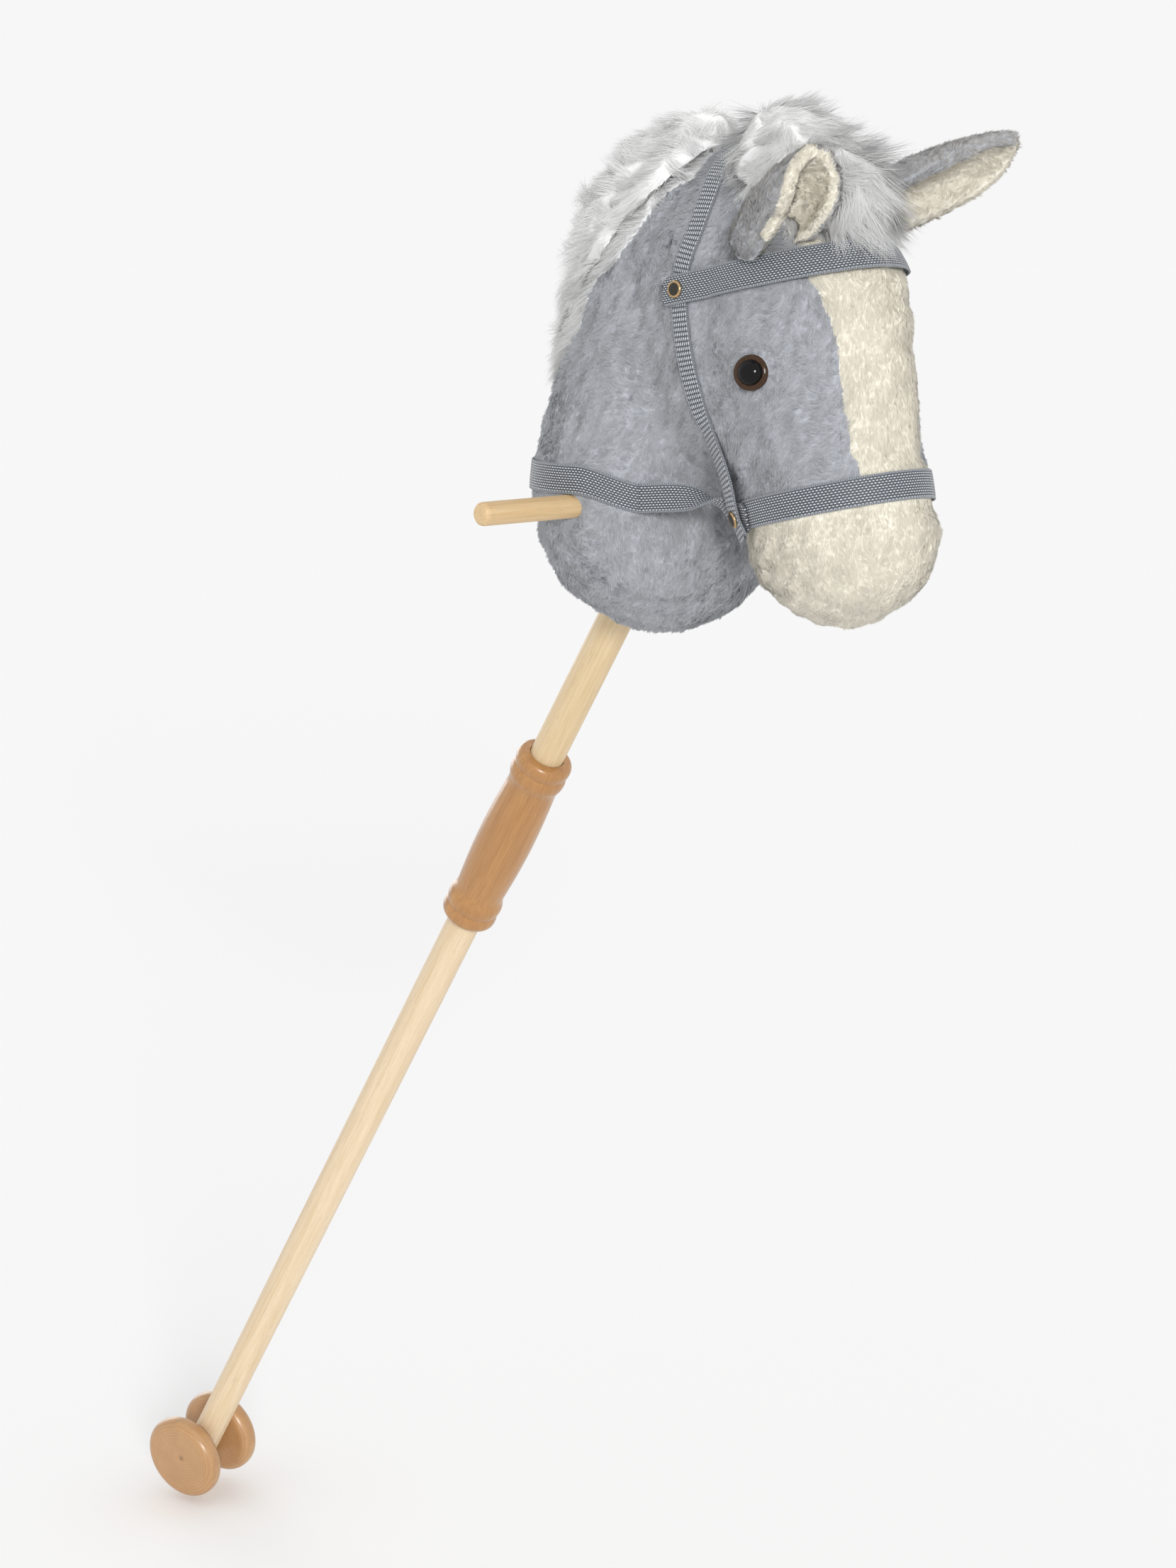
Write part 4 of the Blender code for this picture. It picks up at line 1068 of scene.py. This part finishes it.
def front_keep(centre):
    """The forelock's lower front, whose tips hang over the browband."""
    return outer(centre) * (centre[:, 0] - HEAD_NP[0] > 104 * MM)


tufts("mane_pile", CORES["mane"], outer, 1.5, 13 * MM, mane_way, 0.24)
tufts("forelock_pile", CORES["forelock"], outer, 1.3, 17 * MM, forelock_way, 0.22)
tufts("fringe_pile", cover, fringe_keep, 1.9, 11 * MM, fringe_way, 0.24)
tufts("forelock_tips", CORES["forelock"], front_keep, 0.9, 23 * MM, forelock_way, 0.34)


# Wood and small pieces on the CAD's own nodes

def dress(node, material):
    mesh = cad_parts[node].data
    mesh.materials.clear()
    mesh.materials.append(material)


POLE_TURN = (0, POLE_TILT, 0)
ACROSS = (math.radians(90), 0, 0)
BEECH_PALE = (0.80, 0.655, 0.465)
BEECH_DARK = (0.64, 0.475, 0.285)
for node, pale, dark, turn, start in (
        ("upper_pole", (0.76, 0.605, 0.395), (0.60, 0.44, 0.24), POLE_TURN, (0, 0, 0)),
        ("lower_pole", BEECH_PALE, BEECH_DARK, POLE_TURN, (0.3, 0.1, 0)),
        ("crossbar", (0.74, 0.55, 0.32), (0.56, 0.375, 0.18), ACROSS, tuple(HEAD_AT)),
        ("axle", BEECH_PALE, BEECH_DARK, ACROSS, (0, 0, 0))):
    dress(node, wood_material(f"beech_{node}", pale, dark, 0.5, 0.1, turn, start))
HONEY_WOOD = wood_material("honey_grip", (0.49, 0.25, 0.083), (0.34, 0.153, 0.044), 0.34, 0.45,
                           POLE_TURN)
axle_turn = Matrix.Rotation(POLE_TILT, 3, "Y") @ Matrix.Rotation(AXLE_TWIST, 3, "Z")
wheel_turn = (axle_turn @ Matrix.Rotation(math.radians(-90), 3, "X")).to_euler("XYZ")


def grip_profile():
    """Two beads, a belly and two beads, round a socket in each end, in mm."""
    half, socket_end, bore = 64, 16, 10.4
    bead_radius, bead_width, groove = 16.6, 9.2, 15
    upper = []
    for middle, start in ((half - bead_width / 2, 90), (half - 1.5 * bead_width, 65)):
        for i in range(15):
            turn = math.radians(start - (start + 65) * i / 14)
            inner = 13.2 if start == 90 and turn > 0 else groove
            upper.append((inner + (bead_radius - inner) * math.cos(turn),
                          middle + bead_width / 2 * math.sin(turn)))
    belly_half = half - 2 * bead_width
    belly = [(14.5 + 1.9 * math.cos(math.pi / 2 * (1 - i / 12)), belly_half * (1 - i / 12))
             for i in range(1, 24)]
    lower = [(radius, -height) for radius, height in reversed(upper)]
    return ([(0, socket_end), (bore, socket_end), (bore, half)] + upper + belly + lower
            + [(bore, -half), (bore, -socket_end), (0, -socket_end)])


def turned(node, profile, place, way, material, body="horse"):
    """A turned piece of wood in place of its node, fine enough to look round."""
    mesh = lathe_mesh(f"fine_{node}", profile, 120, place, way)
    put(f"fine_{node}", mesh, material, body=body, replaces=(node,))
    mesh.set_sharp_from_angle(angle=math.radians(35))


turned("turned_grip", grip_profile(), Vector(), POLE_WAY, HONEY_WOOD)
WHEEL_PROFILE = [(0, 25.9), *arc((22.8, 19.7), (6.2, 6.2), 90, 0, 16),
                 *arc((22.8, 18.1), (6.2, 6.2), 0, -90, 16), (4.3, 11.9), (4.3, 20.9), (0, 20.9)]
for wheel, side, pith in (("wheel_left", 1, (0.002, -0.003)), ("wheel_right", -1, (0.001, -0.004))):
    turned(wheel, WHEEL_PROFILE, AXLE_AT, axle_turn @ Vector((0, side, 0)),
           wheel_material(wheel + "_rings", tuple(AXLE_AT), tuple(wheel_turn), pith), "wheelset")
for side, _ in SIDES:
    dress(f"eye_lock_{side}", plain_material(f"lock_{side}", (0.75, 0.75, 0.72), 0.4, bump=0.2))


# Floor, light, camera

def seen_rays(s):
    """1 for rays of the camera, of mirrors and of clear pieces."""
    camera_ray, mirror_ray, clear_ray = (s.node("LightPath", out=f"Is {kind} Ray")
                                         for kind in ("Camera", "Glossy", "Transmission"))
    return s.math("MAXIMUM", s.math("MAXIMUM", camera_ray, mirror_ray), clear_ray)


def stage():
    bpy.ops.mesh.primitive_plane_add(size=80, location=(0, 0, FLOOR_HEIGHT))
    floor = bpy.context.object
    floor.name = "floor"
    s = paint("floor_paint")
    tone = s.mix(s.noise(s.coords(), 3, 2.0, 0.5), (0.93, 0.93, 0.93), (0.94, 0.94, 0.94))
    s.look(Base_Color=s.mix(seen_rays(s), tone, SEEN_FLOOR), Roughness=1.0,
           Specular_IOR_Level=0.0)
    floor.data.materials.append(s.owner)
    world = bpy.data.worlds.new("studio")
    s = Shader(world)
    light = s.node("Background", ((1, 1, 1, 1), 0.80))
    seen = s.node("Background", ((0.93, 0.93, 0.93, 1), 1.0))
    s.set(s.tree.nodes["World Output"].inputs[0], s.node("MixShader", (seen_rays(s), light, seen)))
    bpy.context.scene.world = world


def sun(name, way, power, spread):
    """A far lamp that shines along way, so that the floor is lit evenly."""
    data = bpy.data.lights.new(name, "SUN")
    data.energy = power
    data.angle = math.radians(spread)
    added(name, data).rotation_euler = way.to_track_quat("-Z", "Y").to_euler()


def camera():
    turn, rise = math.radians(47.0), math.radians(10.78)
    right = Vector((math.cos(turn), math.sin(turn), 0))
    back = Vector((math.sin(turn) * math.cos(rise), -math.cos(turn) * math.cos(rise),
                   math.sin(rise)))
    up = back.cross(right)
    place = POLE_WAY * 0.166 - right * 0.01535 - up * 0.09176 + back * 1.6544
    data = bpy.data.cameras.new("camera")
    data.lens = 68.53
    data.sensor_width = 36
    made = added("camera", data)
    made.matrix_world = Matrix(((right.x, up.x, back.x, place.x), (right.y, up.y, back.y, place.y),
                                (right.z, up.z, back.z, place.z), (0, 0, 0, 1)))
    bpy.context.scene.camera = made
    return right, up, back


stage()
right, up, back = camera()
sun("key", -(right * 0.2 + up * 0.1 + back * 1.2), 1.55, 14)
sun("fill", right * 0.5 - up * 0.4 + back, 0.7, 40)
bpy.context.scene.view_settings.view_transform = "Standard"
